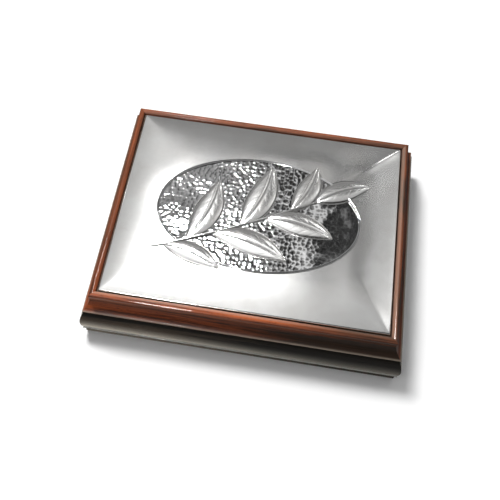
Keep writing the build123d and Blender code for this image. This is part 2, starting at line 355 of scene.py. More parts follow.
uneven = times(wood, minus(wood, tone, 0.5), 1.6)
stain_and_shade_amount = times(wood, wood_in["Stain And Shade"], minus(wood, 1.0, uneven))
stained_and_shaded = mix_colour(wood, remap(wood, stain_and_shade_amount, 0.0, 1.0, 0.0, 0.96), pored, wood_in["Stain And Shade Color"])
wear_and_highlight = mix_colour(wood, wood_in["Wear And Highlight"], stained_and_shaded, wood_in["Wear And Highlight Color"])
feed(wood, wood_out["Color"], wear_and_highlight)
feed(wood, wood_out["Roughness"], remap(wood, streaks, 0.3, 0.7, 0.24, 0.40))
feed(wood, wood_out["Height"], plus(wood, streaks, times(wood, pore_mask, -0.6)))
print("wood figure nodes:", len(wood.nodes))

# %% [markdown]
# The rails are lacquered: a clear, hard and glossy coat over the wood. The Principled shader has a coat
# for that. The wood below keeps a duller roughness of its own, and the pores dent it a little. Four
# woods come from one function: the red lid, the base under its dark stain, the slips that divide the
# box, and the boards, whose edge under the base is painted with shade that darkens from left to right.

# %% Four woods
# the dark colour of stain, which also serves as painted shade, and the pale colour of wear, which also serves
# as painted highlight
STAIN_AND_SHADE_COLOUR = (0.040, 0.027, 0.018)
WEAR_AND_HIGHLIGHT_COLOUR = (0.50, 0.41, 0.33)


def lacquered(name, colours, gloss=None, stain_and_shade=STAIN_AND_SHADE_COLOUR, worn=WEAR_AND_HIGHLIGHT_COLOUR, painted_shade_spread=None):
    """Wood under clear lacquer; without a gloss it is a rail's and reads grain and finish from its points."""
    material, tree, shader = new_material(name)
    names = ("Light", "Middle", "Dark", "Stain And Shade Color", "Wear And Highlight Color")
    inputs = {socket: (*colour, 1) for socket, colour in zip(names, (*colours, stain_and_shade, worn))}
    if gloss is None:
        gloss = stored(tree, "gloss")
        inputs["Place"] = stored(tree, "plank_place", "Vector")
        inputs["Stain And Shade"] = stored(tree, "stain_and_shade")
        inputs["Wear And Highlight"] = stored(tree, "wear_and_highlight")
    else:
        inputs["Place"] = object_place(tree)
    # painted shade: here the dark share grows along the object's X, from left to right
    if painted_shade_spread:
        lengthwise = put(tree, "ShaderNodeSeparateXYZ", {0: inputs["Place"]}).outputs["X"]
        inputs["Stain And Shade"] = remap(tree, lengthwise, *painted_shade_spread)
    figure = put(tree, "ShaderNodeGroup", inputs, node_tree=wood).outputs
    set_shader(
        tree, shader, Base_Color=figure["Color"], Roughness=figure["Roughness"],
        Normal=dented(tree, figure["Height"], 0.12, 0.0002),
        Specular_IOR_Level=0.1, Coat_Weight=gloss, Coat_Roughness=0.04, Coat_IOR=1.5,
    )
    return material


rail_lacquer = lacquered(
    "lacquered_mahogany", [(0.58, 0.138, 0.044), (0.29, 0.064, 0.022), (0.055, 0.020, 0.011)]
)
base_lacquer = lacquered(
    "dark_stained_mahogany", [(0.17, 0.120, 0.080), (0.11, 0.076, 0.050), (0.030, 0.022, 0.015)],
    # worn is here the colour of a painted highlight along the base's band
    stain_and_shade=(0.013, 0.011, 0.008), worn=(0.74, 0.73, 0.68),
)
slip_lacquer = lacquered(
    "mahogany_slips", [(0.30, 0.10, 0.045), (0.17, 0.050, 0.022), (0.035, 0.012, 0.008)], gloss=0.4
)
# the board's edge is painted with shade that darkens from left to right
painted_shade_board = lacquered(
    "board_with_painted_shade", [(0.15, 0.105, 0.075), (0.09, 0.062, 0.045), (0.020, 0.014, 0.010)], gloss=0.15,
    stain_and_shade=(0.012, 0.009, 0.007), painted_shade_spread=(-0.04, 0.02, 0.1, 1.0),
)
print("woods:", [m.name for m in (rail_lacquer, base_lacquer, slip_lacquer, painted_shade_board)])

# %% [markdown]
# ## Mouldings
#
# A moulding is one outline carried along a rail. The outline is written as straight runs and arcs, as
# a cabinet maker would draw it, then sampled evenly and averaged with its neighbours. The averaging
# rounds every edge by a few tenths of a millimetre, which is what catches the thin lines of light on
# the real box. Last, the samples are spread again so that most of them lie where the outline turns.

# %% Outline helpers
def arc_through(start, middle, end, steps=60):
    """Points on the circle through three points: its centre is where the perpendicular bisectors meet."""
    a, b, c = (np.array(p, float) for p in (start, middle, end))
    rows = np.array([b - a, c - a])
    centre = np.linalg.solve(2 * rows, (rows * (rows + 2 * a)).sum(axis=1))
    angles = [math.atan2(*(p - centre)[::-1]) for p in (a, b, c)]
    first, between, last = np.unwrap(angles)
    if (between - first) * (last - between) < 0:
        last += 2 * np.pi * np.sign(between - first)
    radius = np.linalg.norm(a - centre)
    turn = np.linspace(first, last, steps)
    return centre + radius * np.stack([np.cos(turn), np.sin(turn)], -1)


def soft_outline(runs, edge_round, count, samples=2400):
    """Closed outline from runs of points: sampled evenly, averaged over edge_round, spread by its turning."""
    corners = np.concatenate([np.atleast_2d(run) for run in runs])
    closed = np.concatenate([corners, corners[:1]])
    gaps = np.linalg.norm(np.diff(closed, axis=0), axis=1)
    closed = closed[np.concatenate([gaps > 1e-9, [True]])]
    length = np.concatenate([[0], np.cumsum(np.linalg.norm(np.diff(closed, axis=0), axis=1))])
    at = np.arange(samples) * length[-1] / samples
    even = np.stack([np.interp(at, length, closed[:, k]) for k in (0, 1)], -1)
    reach = int(round(3 * edge_round / (length[-1] / samples)))
    offsets = np.arange(-reach, reach + 1)
    weights = np.exp(-0.5 * (offsets * length[-1] / samples / edge_round) ** 2)
    smooth = sum(w * np.roll(even, -k, axis=0) for k, w in zip(offsets, weights)) / weights.sum()
    ahead = np.roll(smooth, -1, axis=0) - smooth
    heading = np.unwrap(np.arctan2(ahead[:, 1], ahead[:, 0]))
    full_turn = 2 * np.pi * np.sign(heading[-1] - heading[0])
    turning = np.abs(np.diff(heading, append=heading[:1] + full_turn))
    spread = np.concatenate([[0], np.cumsum(turning / turning.sum() + 0.6 / samples)])
    wanted = np.linspace(0, spread[-1], count, endpoint=False)
    index = np.interp(wanted, spread, np.arange(samples + 1))
    wrapped = np.concatenate([smooth, smooth[:1]])
    return np.stack([np.interp(index, np.arange(samples + 1), wrapped[:, k]) for k in (0, 1)], -1)


def area_mm2(outline):
    """Area inside: half the sum of cross products of neighbours, whichever way round the outline runs."""
    ahead = np.roll(outline, -1, axis=0)
    twice = abs(float(np.sum(outline[:, 0] * ahead[:, 1] - ahead[:, 0] * outline[:, 1])))
    return round(0.5 * twice / MM**2, 2)


# %% [markdown]
# The lid's outline has, from its lower edge up: a sharp edge called the arris, a hollow cove, a small
# step called the quirk, and a half-round bead that frames the silver. Inside, it steps out again to a
# ledge that carries the lid's panel. Insets are measured inwards from the lid's outer edge and heights
# from its lower edge.

# %% Outline of the lid rails
bead_radius = 1.6 * MM
bead_inset = 3.5 * MM
bead_centre_height = front_high.z - lid_bottom - bead_radius
sight_inset = bead_inset + 2 * bead_radius
ledge_inset = -front_low.y + front_high.y
ledge_height = 5.8 * MM
arris_chamfer = 0.4 * MM
arris_height = 1.0 * MM
cove_waist = 2.6 * MM
cove_waist_height = 4.3 * MM
quirk_depth = 0.35 * MM
quirk_height = 9.2 * MM

lid_outline = soft_outline(
    [
        arc_through(
            (0, arris_height), (cove_waist, cove_waist_height), (bead_inset + quirk_depth, quirk_height)
        ),
        [(bead_inset, quirk_height + quirk_depth)],
        arc_through(
            (bead_inset, bead_centre_height),
            (bead_inset + bead_radius, bead_centre_height + bead_radius),
            (sight_inset, bead_centre_height),
        ),
        [(sight_inset, ledge_height), (ledge_inset, ledge_height), (ledge_inset, 0)],
        [(arris_chamfer, 0), (0, arris_chamfer)],
    ],
    edge_round=0.16 * MM,
    count=132,
)
print("lid outline:", len(lid_outline), "points,", area_mm2(lid_outline), "square mm")

# %% [markdown]
# The base's outline swells out like a bolster, pulls in above a thin square band at its foot, and is
# flat behind, where the velvet goes.

# %% Outline of the base rails
base_wall = 7.0 * MM
base_top_recess = 0.5 * MM
bulge_reach = 1.9 * MM
bulge_foot_reach = 1.1 * MM
band_reach = 1.5 * MM
band_height = 0.9 * MM
base_height = rail_top - rail_bottom

base_outline = soft_outline(
    [
        arc_through(
            (base_top_recess, base_height),
            (-bulge_reach, (base_height + band_height) / 2),
            (-bulge_foot_reach, band_height),
        ),
        [(-band_reach, band_height), (-band_reach, 0), (base_wall, 0), (base_wall, base_height)],
    ],
    edge_round=0.14 * MM,
    count=104,
)
print("base outline:", len(base_outline), "points,", area_mm2(base_outline), "square mm")

# %% [markdown]
# ## The finish along a rail
#
# The finish of an old box isn't even. Part of it is real: a dark stain that soaks in unevenly, edges
# that hands have rubbed pale, and a clear coat that is thin in places. Part of it is painted light: the
# cove is darker, partly from the stain and partly as painted shade under the bead, a painted shadow
# lies under the front bead and painted shade on the bead's inner side, and the pale edges are partly
# painted highlight. It could be painted by hand, but a formula in the rail's own measures is exact and
# repeatable. Each point gets a share from 0 to 1 for stain and shade, for wear and highlight and for
# gloss, worked out from its place along the rail (run), its inset and its height. The wood reads the
# three shares from the points. On the lid, the front rail darkens from left to right as painted shade.

# %% Stain and painted shade on the lid rails
# spans over which a share passes from 0 to 1: heights, insets, or places along the rail
cove_top = {"front": (6.0 * MM, 8.6 * MM)}
usual_cove_top = (6.5 * MM, 9.6 * MM)
# painted shade: the front cove and the front bead darken from left to right
front_cove_darkens = (-42 * MM, 50 * MM)
front_bead_darkens = (-15 * MM, 60 * MM)
left_rail_darkens = (-60 * MM, -25 * MM)
# painted shade on the bead's inner side beside the silver
sight_edge = (sight_inset - 0.5 * MM, sight_inset - 0.2 * MM)
stain_wander, stain_patch = 0.9 * MM, 16 * MM
# painted shadow in the quirk under the front bead
painted_shadow_under_bead, painted_shadow_under_bead_width = 7.7 * MM, 0.75 * MM
below_bead = bead_inset + 1.0 * MM


def lid_stain_and_shade(run, inset, height, side):
    """Cove or bead share by height, at least the painted shadow under the bead and the painted shade at the
    sight edge.
    """
    ragged = stain_wander * ripple(run, height, stain_patch, 61)
    towards_back = step(run, *left_rail_darkens)
    cove_share, bead_share = {
        "front": (0.04 + 1.06 * step(run, *front_cove_darkens), 0.05 + 0.80 * step(run, *front_bead_darkens)),
        "back": (0.8, 0.50),
        "left": (0.40 + 0.45 * towards_back, 0.35 + 0.45 * towards_back),
        "right": (0.60, 0.72),
    }[side]
    # the cove: partly a darker stain and partly painted shade under the bead
    cove = 1 - step(height + ragged, *cove_top.get(side, usual_cove_top))
    line = 0.75 * bell(height + 0.3 * ragged, painted_shadow_under_bead, painted_shadow_under_bead_width)
    line = line * (inset < below_bead) * (side == "front")
    return np.maximum(
        np.maximum(cove * cove_share + (1 - cove) * bead_share, line), 0.65 * step(inset, *sight_edge)
    )


rail_ends = np.array([-lid_half_length, lid_half_length])
end_stains = lid_stain_and_shade(rail_ends, 0 * rail_ends, 3 * MM, "front")
print("stain in the front cove, left and right end:", end_stains.round(2))

# %% [markdown]
# The sharp lower edge and the slope beside the silver are paler: partly wear from hands, partly a
# painted highlight on the edge and painted light on the slope. The coat is worn on top of the beads
# and was never polished in the narrow hollow under them.

# %% Pale places and gloss of the lid rails
# painted light: the pale slope on the front fades from left to right
front_pale_slope_fades = (-10 * MM, 60 * MM)
slope_insets = (bead_inset + 1.0 * MM, bead_inset + 2.2 * MM)
slope_heights = (10.5 * MM, 11.5 * MM)
arris_pale_line_width, arris_face = 0.42 * MM, 1.0 * MM


def lid_wear_and_highlight(run, inset, height, side):
    """A bell round the arris, partly wear and partly painted highlight, plus the slope beside the silver,
    partly wear and partly painted light.
    """
    arris = 0.85 * bell(height, arris_height, arris_pale_line_width) * (inset < arris_face)
    front_slope = 0.34 * (1 - 0.75 * step(run, *front_pale_slope_fades))
    slope_share = {"front": front_slope, "back": 0.10, "left": 0.0, "right": 0.27}[side]
    return arris + slope_share * step(inset, *slope_insets) * step(height, *slope_heights)


quirk_starts, quirk_ends = (7.4 * MM, 8.4 * MM), (10.2 * MM, 10.9 * MM)
front_top_insets, front_top_heights = (4.3 * MM, 4.7 * MM), (9.5 * MM, 10.5 * MM)
right_rail_worn = (-56 * MM, -44 * MM)
front_foot_ends = (3.5 * MM, 5.5 * MM)


def lid_gloss(run, inset, height, side):
    """1 less the largest of three dull shares: the quirk, the worn top of the bead, and the front's foot."""
    quirk = 0.92 * step(height, *quirk_starts) * (1 - step(height, *quirk_ends)) * (inset < below_bead)
    worn = {
        "front": 0.92 * step(inset, *front_top_insets) * step(height, *front_top_heights),
        "back": 0.8,
        "left": 0.78,
        "right": 0.75 * step(run, *right_rail_worn),
    }[side]
    foot = 0.97 * (1 - step(height, *front_foot_ends)) * (side == "front")
    return 1 - np.maximum(np.maximum(quirk, worn), foot)


lid_finish = {"stain_and_shade": lid_stain_and_shade, "wear_and_highlight": lid_wear_and_highlight, "gloss": lid_gloss}
print("finish shares:", list(lid_finish))

# %% [markdown]
# The base is stained much darker than the lid. On its front it is lightest at the left end and darker
# to the right, and it is darkest right under the lid: both are painted shade. A pale line along the
# band at its foot is a painted highlight.

# %% Finish of the base rails
# painted shade: the front darkens to the right, and the top under the lid
front_darkens = (-60 * MM, 30 * MM)
top_darkens = (10.5 * MM, 14.5 * MM)
# painted highlight along the top of the band
band_line_width = 0.4 * MM
band_line_starts = (0.55 * MM, 0.75 * MM)
dull_under_lid = (base_height - 2.0 * MM, base_height - 0.8 * MM)
dull_band_ends = (0.5 * MM, 0.8 * MM)


def base_stain_and_shade(run, inset, height, side):
    """The larger of a share along the rail, partly painted shade on the front, and a share growing towards
    the top, painted shade under the lid.
    """
    lengthwise_share = 0.12 + 1.13 * step(run, *front_darkens) if side == "front" else 0.9
    return np.maximum(lengthwise_share, 1.25 * step(height, *top_darkens))


def base_painted_highlight(run, inset, height, side):
    """A painted highlight: a bell round the upper edge of the band, cut off on the band's face."""
    line = bell(height, band_height, band_line_width) * step(height, *band_line_starts)
    return line * (inset < 0)


def base_gloss(run, inset, height, side):
    """1 less the larger of two dull shares: the last two millimetres under the lid and the band's face."""
    return 1 - 0.85 * np.maximum(step(height, *dull_under_lid), 1 - step(height, *dull_band_ends))


base_finish = {"stain_and_shade": base_stain_and_shade, "wear_and_highlight": base_painted_highlight, "gloss": base_gloss}
print("finish shares:", list(base_finish))

# %% [markdown]
# ## Rails
#
# A rail is its outline at many stations along the side. At a mitre the rail is shorter the further in
# a point lies, so a station is a share from -1 to 1 of the point's own half length, and both ends come
# out cut at 45 degrees. Each side has an outward direction, and the direction along it is square to
# that. The surface is a little uneven, as hand-rubbed lacquer is, so that reflections waver. The two
# outlines run opposite ways round, so each rail's faces are turned outwards where they point in.

# %% Rails by sweeping an outline
SIDES = {
    "front": ((0, -1), lid_half_depth, lid_half_length),
    "back": ((0, 1), lid_half_depth, lid_half_length),
    "left": ((-1, 0), lid_half_length, lid_half_depth),
    "right": ((1, 0), lid_half_length, lid_half_depth),
}
mitre_gap = 0.02 * MM
lacquer_wave = 0.012 * MM


def mitred_rail(name, outline, floor_z, side, seed, finish, stations=141):
    """Point = outward * (reach - inset) + along * share * (half run - inset), at the outline's height."""
    (out_x, out_y), reach, half_run = SIDES[side]
    outward = np.array([out_x, out_y, 0.0])
    along = np.array([-out_y, out_x, 0.0])
    upward = np.array([0, 0, 1.0])
    share = np.linspace(-1, 1, stations)[:, None]
    inset, height = outline[None, :, 0], outline[None, :, 1]
    run = share * (half_run - inset - mitre_gap)
    edge_length = np.linalg.norm(np.diff(outline, axis=0, append=outline[:1]), axis=1)
    around = np.cumsum(edge_length)[None, :]
    tangent = np.roll(outline, -1, axis=0) - np.roll(outline, 1, axis=0)
    normal = np.stack([tangent[:, 1], -tangent[:, 0]], -1) / np.linalg.norm(tangent, axis=1)[:, None]
    wave = lacquer_wave * (ripple(run, around, 9 * MM, seed) + 0.5 * ripple(run, around, 3.5 * MM, seed + 1))
    moved_inset = inset + wave * normal[None, :, 0]
    moved_height = height + wave * normal[None, :, 1]
    points = (
        outward * (reach - moved_inset)[..., None]
        + along * run[..., None]
        + upward * (floor_z + moved_height)[..., None]
    )
    columns = len(outline)
    first_cap = np.arange(columns)
    last_cap = first_cap[::-1] + (stations - 1) * columns
    quads = grid_quads(stations, columns, wrap_columns=True)
    rail = make_mesh(name, points.reshape(-1, 3), quads, [first_cap, last_cap])
    turn_faces_outwards(rail)
    plank_shift = np.random.default_rng(seed).uniform(0, 3, 3)
    plank = np.stack(np.broadcast_arrays(run, -inset, height), -1).reshape(-1, 3) + plank_shift
    store(rail, "plank_place", plank, "FLOAT_VECTOR", "vector")
    lengthwise = run if side in ("front", "right") else -run
    run_grid, inset_grid, height_grid = np.broadcast_arrays(lengthwise, inset, height)
    for attribute, shares in finish.items():
        store(rail, attribute, shares(run_grid, inset_grid, height_grid, side) + 0 * run)
    return rail


# %% [markdown]
# The back rails have seats for the hinges: a shallow mortise under each leaf and a round relief for
# the knuckle. Cutting them with a Boolean keeps the sweep simple.

# %% Cutters for the hinge seats
def seat_cutter(name, low, high):
    """A closed box between two corners, used only to cut."""
    corners = np.stack(np.meshgrid(*zip(low, high), indexing="ij"), -1).reshape(-1, 3)
    faces = np.array([[0, 1, 3, 2], [4, 6, 7, 5], [0, 4, 5, 1], [2, 3, 7, 6], [0, 2, 6, 4], [1, 5, 7, 3]])
    return make_mesh(name, corners, faces)


def knuckle_cutter(name, low_x, high_x, axis_y, axis_z, radius, steps=40):
    """A closed cylinder along X, used only to cut."""
    turn = np.linspace(0, 2 * np.pi, steps, endpoint=False)
    ring = np.stack([axis_y + radius * np.cos(turn), axis_z + radius * np.sin(turn)], -1)
    points = np.concatenate([np.column_stack([np.full(steps, x), ring]) for x in (low_x, high_x)])
    quads = grid_quads(2, steps, wrap_columns=True)[:, ::-1]
    return make_mesh(name, points, quads, [np.arange(steps)[::-1], np.arange(steps) + steps])


def cut_with(piece, cutters, sharp_degrees=35):
    """Take the cutters away from a piece, keep the result as its mesh and remove the cutters."""
    for cutter in cutters:
        modifier = piece.modifiers.new(cutter.name, "BOOLEAN")
        modifier.operation = "DIFFERENCE"
        modifier.solver = "EXACT"
        modifier.object = cutter
    bpy.context.view_layer.update()
    evaluated = piece.evaluated_get(bpy.context.evaluated_depsgraph_get())
    cut = bpy.data.meshes.new_from_object(evaluated)
    piece.modifiers.clear()
    piece.data = cut
    cut.shade_smooth()
    cut.set_sharp_from_angle(angle=math.radians(sharp_degrees))
    for cutter in cutters:
        bpy.data.objects.remove(cutter)


# %% [markdown]
# The seats take their places from the boxes of the hinge leaves and pins, with a little play, so that
# a leaf lies in its mortise without touching the wood. Then all eight rails are made in one loop.

# %% Hinge seats and the eight rails
leaf_plate = 0.8 * MM
seat_play = 0.1 * MM
relief = 0.4 * MM


def hinge_seats(rail, body, face_z):
    """Mortises and knuckle reliefs in a back rail whose hinged face is at face_z."""
    cutters = []
    for hinge in ("left", "right"):
        leaf_low, leaf_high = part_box(f"hinge_{hinge}_{body}_leaf")
        pin_low, pin_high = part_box(f"hinge_{hinge}_pin")
        pin_y, pin_z = (pin_low.y + pin_high.y) / 2, (pin_low.z + pin_high.z) / 2
        radius = leaf_high.y - pin_y + relief
        low = (leaf_low.x - seat_play, leaf_low.y - seat_play, face_z - leaf_plate)
        high = (leaf_high.x + seat_play, leaf_high.y, face_z + leaf_plate)
        pin_span = (pin_low.x - relief, pin_high.x + relief)
        cutters.append(seat_cutter(f"cut_{hinge}_{body}", low, high))
        cutters.append(knuckle_cutter(f"round_{hinge}_{body}", *pin_span, pin_y, pin_z, radius))
    cut_with(rail, cutters)


RAILS = {
    "base": (base_outline, rail_bottom, 10, base_finish, rail_top, base_lacquer),
    "lid": (lid_outline, lid_bottom, 20, lid_finish, lid_bottom, rail_lacquer),
}
for side_number, side in enumerate(SIDES):
    for body, (outline, floor_z, seed, finish, hinged_z, lacquer) in RAILS.items():
        rail = mitred_rail(f"{body}_moulding_{side}", outline, floor_z, side, seed + side_number, finish)
        if side == "back":
            hinge_seats(rail, body, hinged_z)
        finish_piece(rail, body, f"{body}_rail_{side}", lacquer)

# %% [markdown]
# ## Silver
#
# The plaque is one thin sheet, but it shows two finishes. Most of it is satin: finely brushed, so that
# it holds broad, soft light. The sunk oval is polished and covered with small hammer marks, which
# break up what it mirrors into dark and bright flecks. A group gives both finishes a slow drift of
# tone. Polishing never reaches the hollows, so silver turns nearly black in them: how deep in a hollow
# a point lies is kept on the points, and the colour there passes to the tarnish. The oval also uses
# that share for painted shade over its front left.

# %% Silver finishes
tarnish, tarnish_in, tarnish_out = new_group(
    "silver_tone",
    [
        ("Place", "NodeSocketVector", (0, 0, 0)),
        ("Bright", "NodeSocketColor", (0.88, 0.88, 0.87, 1)),
        ("Dull", "NodeSocketColor", (0.70, 0.69, 0.67, 1)),
    ],
    [("Color", "NodeSocketColor"), ("Cloud", "NodeSocketFloat"), ("Grain", "NodeSocketFloat")],
)
cloud = noise(tarnish, tarnish_in["Place"], (60, 60, 60))
dullness = remap(tarnish, cloud, 0.35, 0.7, 1.0, 0.0)
toned = mix_colour(tarnish, dullness, tarnish_in["Bright"], tarnish_in["Dull"])
feed(tarnish, tarnish_out["Color"], toned)
feed(tarnish, tarnish_out["Cloud"], cloud)
feed(tarnish, tarnish_out["Grain"], noise(tarnish, tarnish_in["Place"], (5200, 5200, 5200), detail=2))
TARNISH_AND_SHADE_COLOUR = (0.07, 0.066, 0.060, 1)


def silver(name, low_roughness, high_roughness, grain_strength, bright, dull):
    """Silver whose roughness drifts between two values and whose fine grain is a faint bump."""
    material, tree, shader = new_material(name)
    inputs = {"Place": object_place(tree), "Bright": (*bright, 1), "Dull": (*dull, 1)}
    tone = put(tree, "ShaderNodeGroup", inputs, node_tree=tarnish).outputs
    set_shader(
        tree, shader, Metallic=1.0,
        Base_Color=mix_colour(tree, stored(tree, "tarnish_and_shade"), tone["Color"], TARNISH_AND_SHADE_COLOUR),
        Roughness=remap(tree, tone["Cloud"], 0.3, 0.7, high_roughness, low_roughness),
        Normal=dented(tree, tone["Grain"], grain_strength, 0.00005),
    )
    return material


satin_silver = silver("satin_silver", 0.175, 0.205, 0.10, (0.90, 0.90, 0.89), (0.78, 0.77, 0.75))
bright_silver = silver("polished_silver", 0.05, 0.09, 0.05, (0.88, 0.88, 0.88), (0.72, 0.72, 0.72))
print("silver tone nodes:", len(tarnish.nodes))

# %% [markdown]
# The sheet rises from its edge in a curve that flattens out towards the middle. Near a corner two of
# these slopes meet in a crease, which is softer at some corners than at others, and at the two right
# corners the sheet is pinched into a low fold. One function of x and y gives the level of the whole
# sheet, and everything that lies on it asks that function where it is.

# %% Level of the sheet
plaque_half_length = plaque_high.x
plaque_half_depth = plaque_high.y
edge_rise = 1.3 * MM
dome_rise = 1.5 * MM
dome_width = 20.0 * MM
sheet_wave = 0.10 * MM
sheet_edge_z = plaque_low.z + edge_rise
ground_z = sheet_edge_z + dome_rise
sheet_wavelength = 26 * MM
corner_blend = 6 * MM
CREASE_SHARES = {"front": (0.40, 0.30), "back": (0.42, 0.08)}
# each fold runs from a corner to an inner end, and has a width, a height and a crest radius
FOLDS = [
    ((plaque_half_length, plaque_half_depth), (40 * MM, 24.5 * MM), 2.2 * MM, 0.88 * MM, 1.8 * MM),
    ((plaque_half_length, -plaque_half_depth), (50 * MM, -24 * MM), 3.2 * MM, 0.92 * MM, 0.5 * MM),
]


def crease_share(x, y):
    """How soft a corner crease is: a blend of four shares by the quarter that a point lies in."""
    right = 1 / (1 + np.exp(-x / corner_blend))
    back = 1 / (1 + np.exp(-y / corner_blend))
    near, far = ((1 - right) * shares[0] + right * shares[1] for shares in CREASE_SHARES.values())
    return (1 - back) * near + back * far


def ridge(x, y, start, end, width, height, crest_radius):
    """Raised line: height * exp((c - root(d^2 + c^2)) / width) with crest radius c, fading to its end."""
    direction = np.array(end) - np.array(start)
    length = np.linalg.norm(direction)
    unit = direction / length
    along = ((x - start[0]) * unit[0] + (y - start[1]) * unit[1]) / length
    aside = np.abs((x - start[0]) * -unit[1] + (y - start[1]) * unit[0])
    beyond = np.maximum(np.maximum(-along, along - 1), 0) * length
    reach = np.sqrt(aside**2 + beyond**2 + crest_radius**2) - crest_radius
    return height * np.clip(1 - along, 0, 1) * np.exp(-reach / width)


def sheet_height(x, y):
    """Height of the satin sheet: edge + rise * (1 - (1 - d / width)^2) with d the softened edge distance."""
    to_side = plaque_half_length - np.abs(x)
    to_end = plaque_half_depth - np.abs(y)
    soft = crease_share(x, y) * 0.5 * np.clip(to_side + to_end, 0, 3 * dome_width)
    distance = 0.5 * (to_side + to_end - np.sqrt((to_side - to_end) ** 2 + soft**2))
    distance = np.clip(distance, 0, dome_width)
    dome = dome_rise * (1 - (1 - distance / dome_width) ** 2)
    inwards = np.clip(distance / dome_width, 0, 1)
    wave = sheet_wave * inwards * ripple(x, y, sheet_wavelength, 5)
    folds = sum(ridge(x, y, *fold) for fold in FOLDS)
    return sheet_edge_z + dome + wave + folds * inwards**0.5


print("sheet in mm: edge at", round(sheet_edge_z / MM, 2), "middle at", round(ground_z / MM, 2))

# %% [markdown]
# The satin ground runs from the rim of the oval out to the rectangle's edge, so its grid has one
# parameter round the plaque and one from the oval outwards. The corners of the rectangle are grid
# lines, so that they stay sharp. The outermost strip rolls over, and a skirt goes down from it.

# %% Satin ground
field_half_length = 49.0 * MM
field_half_depth = 31.0 * MM
border_width = 1.2 * MM
roll_radius = 0.7 * MM
skirt_lift = 0.05 * MM
steps_per_side = (150, 190, 150, 190)
outward_steps = 96


def rectangle_edge(turn):
    """Point on the rectangle's edge at an angle: the larger of the two scaled sides is brought to 1."""
    x, y = np.cos(turn), np.sin(turn)
    scale = 1 / np.maximum(np.abs(x) / plaque_half_length, np.abs(y) / plaque_half_depth)
    return np.stack([x * scale, y * scale], -1)


def satin_ground():
    """Points between ellipse and rectangle: inner + (outer - inner) * (1 - (1 - share)^1.35)."""
    corner = math.atan2(plaque_half_depth, plaque_half_length)
    corners = np.array([-corner, corner, np.pi - corner, np.pi + corner, 2 * np.pi - corner])
    sides = zip(corners, corners[1:], steps_per_side)
    outer = rectangle_edge(np.concatenate([np.linspace(a, b, n, endpoint=False) for a, b, n in sides]))
    rim_length = field_half_length + 0.5 * border_width
    rim_depth = field_half_depth + 0.5 * border_width
    rim_turn = np.arctan2(outer[:, 1] / rim_depth, outer[:, 0] / rim_length)
    rim = np.stack([rim_length * np.cos(rim_turn), rim_depth * np.sin(rim_turn)], -1)
    shares = 1 - (1 - np.linspace(0, 1, outward_steps)) ** 1.35
    flat = rim[None] + (outer - rim)[None] * shares[:, None, None]
    x, y = flat[..., 0], flat[..., 1]
    to_edge = np.minimum(2 * (plaque_half_length - np.abs(x)), plaque_half_depth - np.abs(y))
    rolled = np.clip(1 - to_edge / roll_radius, 0, 1)
    z = sheet_height(x, y) - roll_radius * (1 - np.sqrt(1 - rolled**2))
    skirt = np.stack([outer[:, 0], outer[:, 1], np.full(len(outer), plaque_low.z + skirt_lift)], -1)
    return np.concatenate([np.stack([x, y, z], -1), skirt[None]])


ground_points = satin_ground()
ground_quads = grid_quads(*ground_points.shape[:2], wrap_columns=True)
ground = make_mesh("plaque_ground", ground_points.reshape(-1, 3), ground_quads, sharp_degrees=60)
finish_piece(ground, "lid", "silver_plaque", satin_silver)

# %% [markdown]
# ## The hammered oval
#
# Each blow of a ball-faced hammer leaves a shallow round dish, and neighbouring dishes meet in fine
# ridges. So the depth at a point is the square of its distance to the nearest blow. The blows lie on a
# grid of squares with one blow in each, moved about at random by a seeded table. An ellipse is covered
# evenly by a square grid bent to fit it, which leaves no crowded middle as a polar grid would. The
# marks are deepest left of the middle and run out towards the right.

# %% Hammer marks
def hammer_marks(x, y, cell, seed):
    """Least of squared distance plus weakness over the blows nearby, over the squared half cell."""
    random = np.random.default_rng(seed)
    table = random.uniform(-0.36, 0.36, (256, 256, 2))
    weakness = random.uniform(0, 0.22, (256, 256))
    column, row = np.floor(x / cell).astype(int), np.floor(y / cell).astype(int)
    nearest = np.full(x.shape, 9.0)
    for step_x in (-1, 0, 1):
        for step_y in (-1, 0, 1):
            i, j = column + step_x, row + step_y
            shift = table[i % 256, j % 256]
            dx = (i + 0.5 + shift[..., 0]) - x / cell
            dy = (j + 0.5 + shift[..., 1]) - y / cell
            nearest = np.minimum(nearest, dx**2 + dy**2 + weakness[i % 256, j % 256])
    return np.clip(nearest / 0.5**2, 0, 2.0)


# %% [markdown]
# Tarnish lies in the dishes of the right half, which the polishing leather hardly reached. The front
# left of the oval is darkened too, and that is painted shade.

# %% Hammered field
hammer_cell = 2.1 * MM
hammer_depth = 0.052 * MM
field_sink = 0.25 * MM
field_overlap = 0.2 * MM
size_u, size_v = 348, 280
u, v = np.meshgrid(np.linspace(-1, 1, size_u), np.linspace(-1, 1, size_v), indexing="ij")
x = (field_half_length + field_overlap) * u * np.sqrt(1 - v**2 / 2)
y = (field_half_depth + field_overlap) * v * np.sqrt(1 - u**2 / 2)
mark_level = hammer_marks(x, y, hammer_cell, 3)
left_share = 0.42 / (1 + np.exp((x - 16 * MM) / (4 * MM)))
middle_share = 0.80 * bell(x, -6 * MM, 19 * MM)
marks = hammer_depth * (0.10 + left_share + middle_share) * mark_level
swell = 0.10 * MM * ripple(x, y, 20 * MM, 8) + 0.03 * MM * ripple(x, y, 7 * MM, 9)
field_points = np.stack([x, y, ground_z - field_sink + marks + swell], -1).reshape(-1, 3)
field = make_mesh("plaque_field", field_points, grid_quads(size_u, size_v), sharp_degrees=170)

dish_hollow = 0.92 * bell(x, 15 * MM, 23 * MM) * (1 - step(mark_level, 0.55, 1.15))
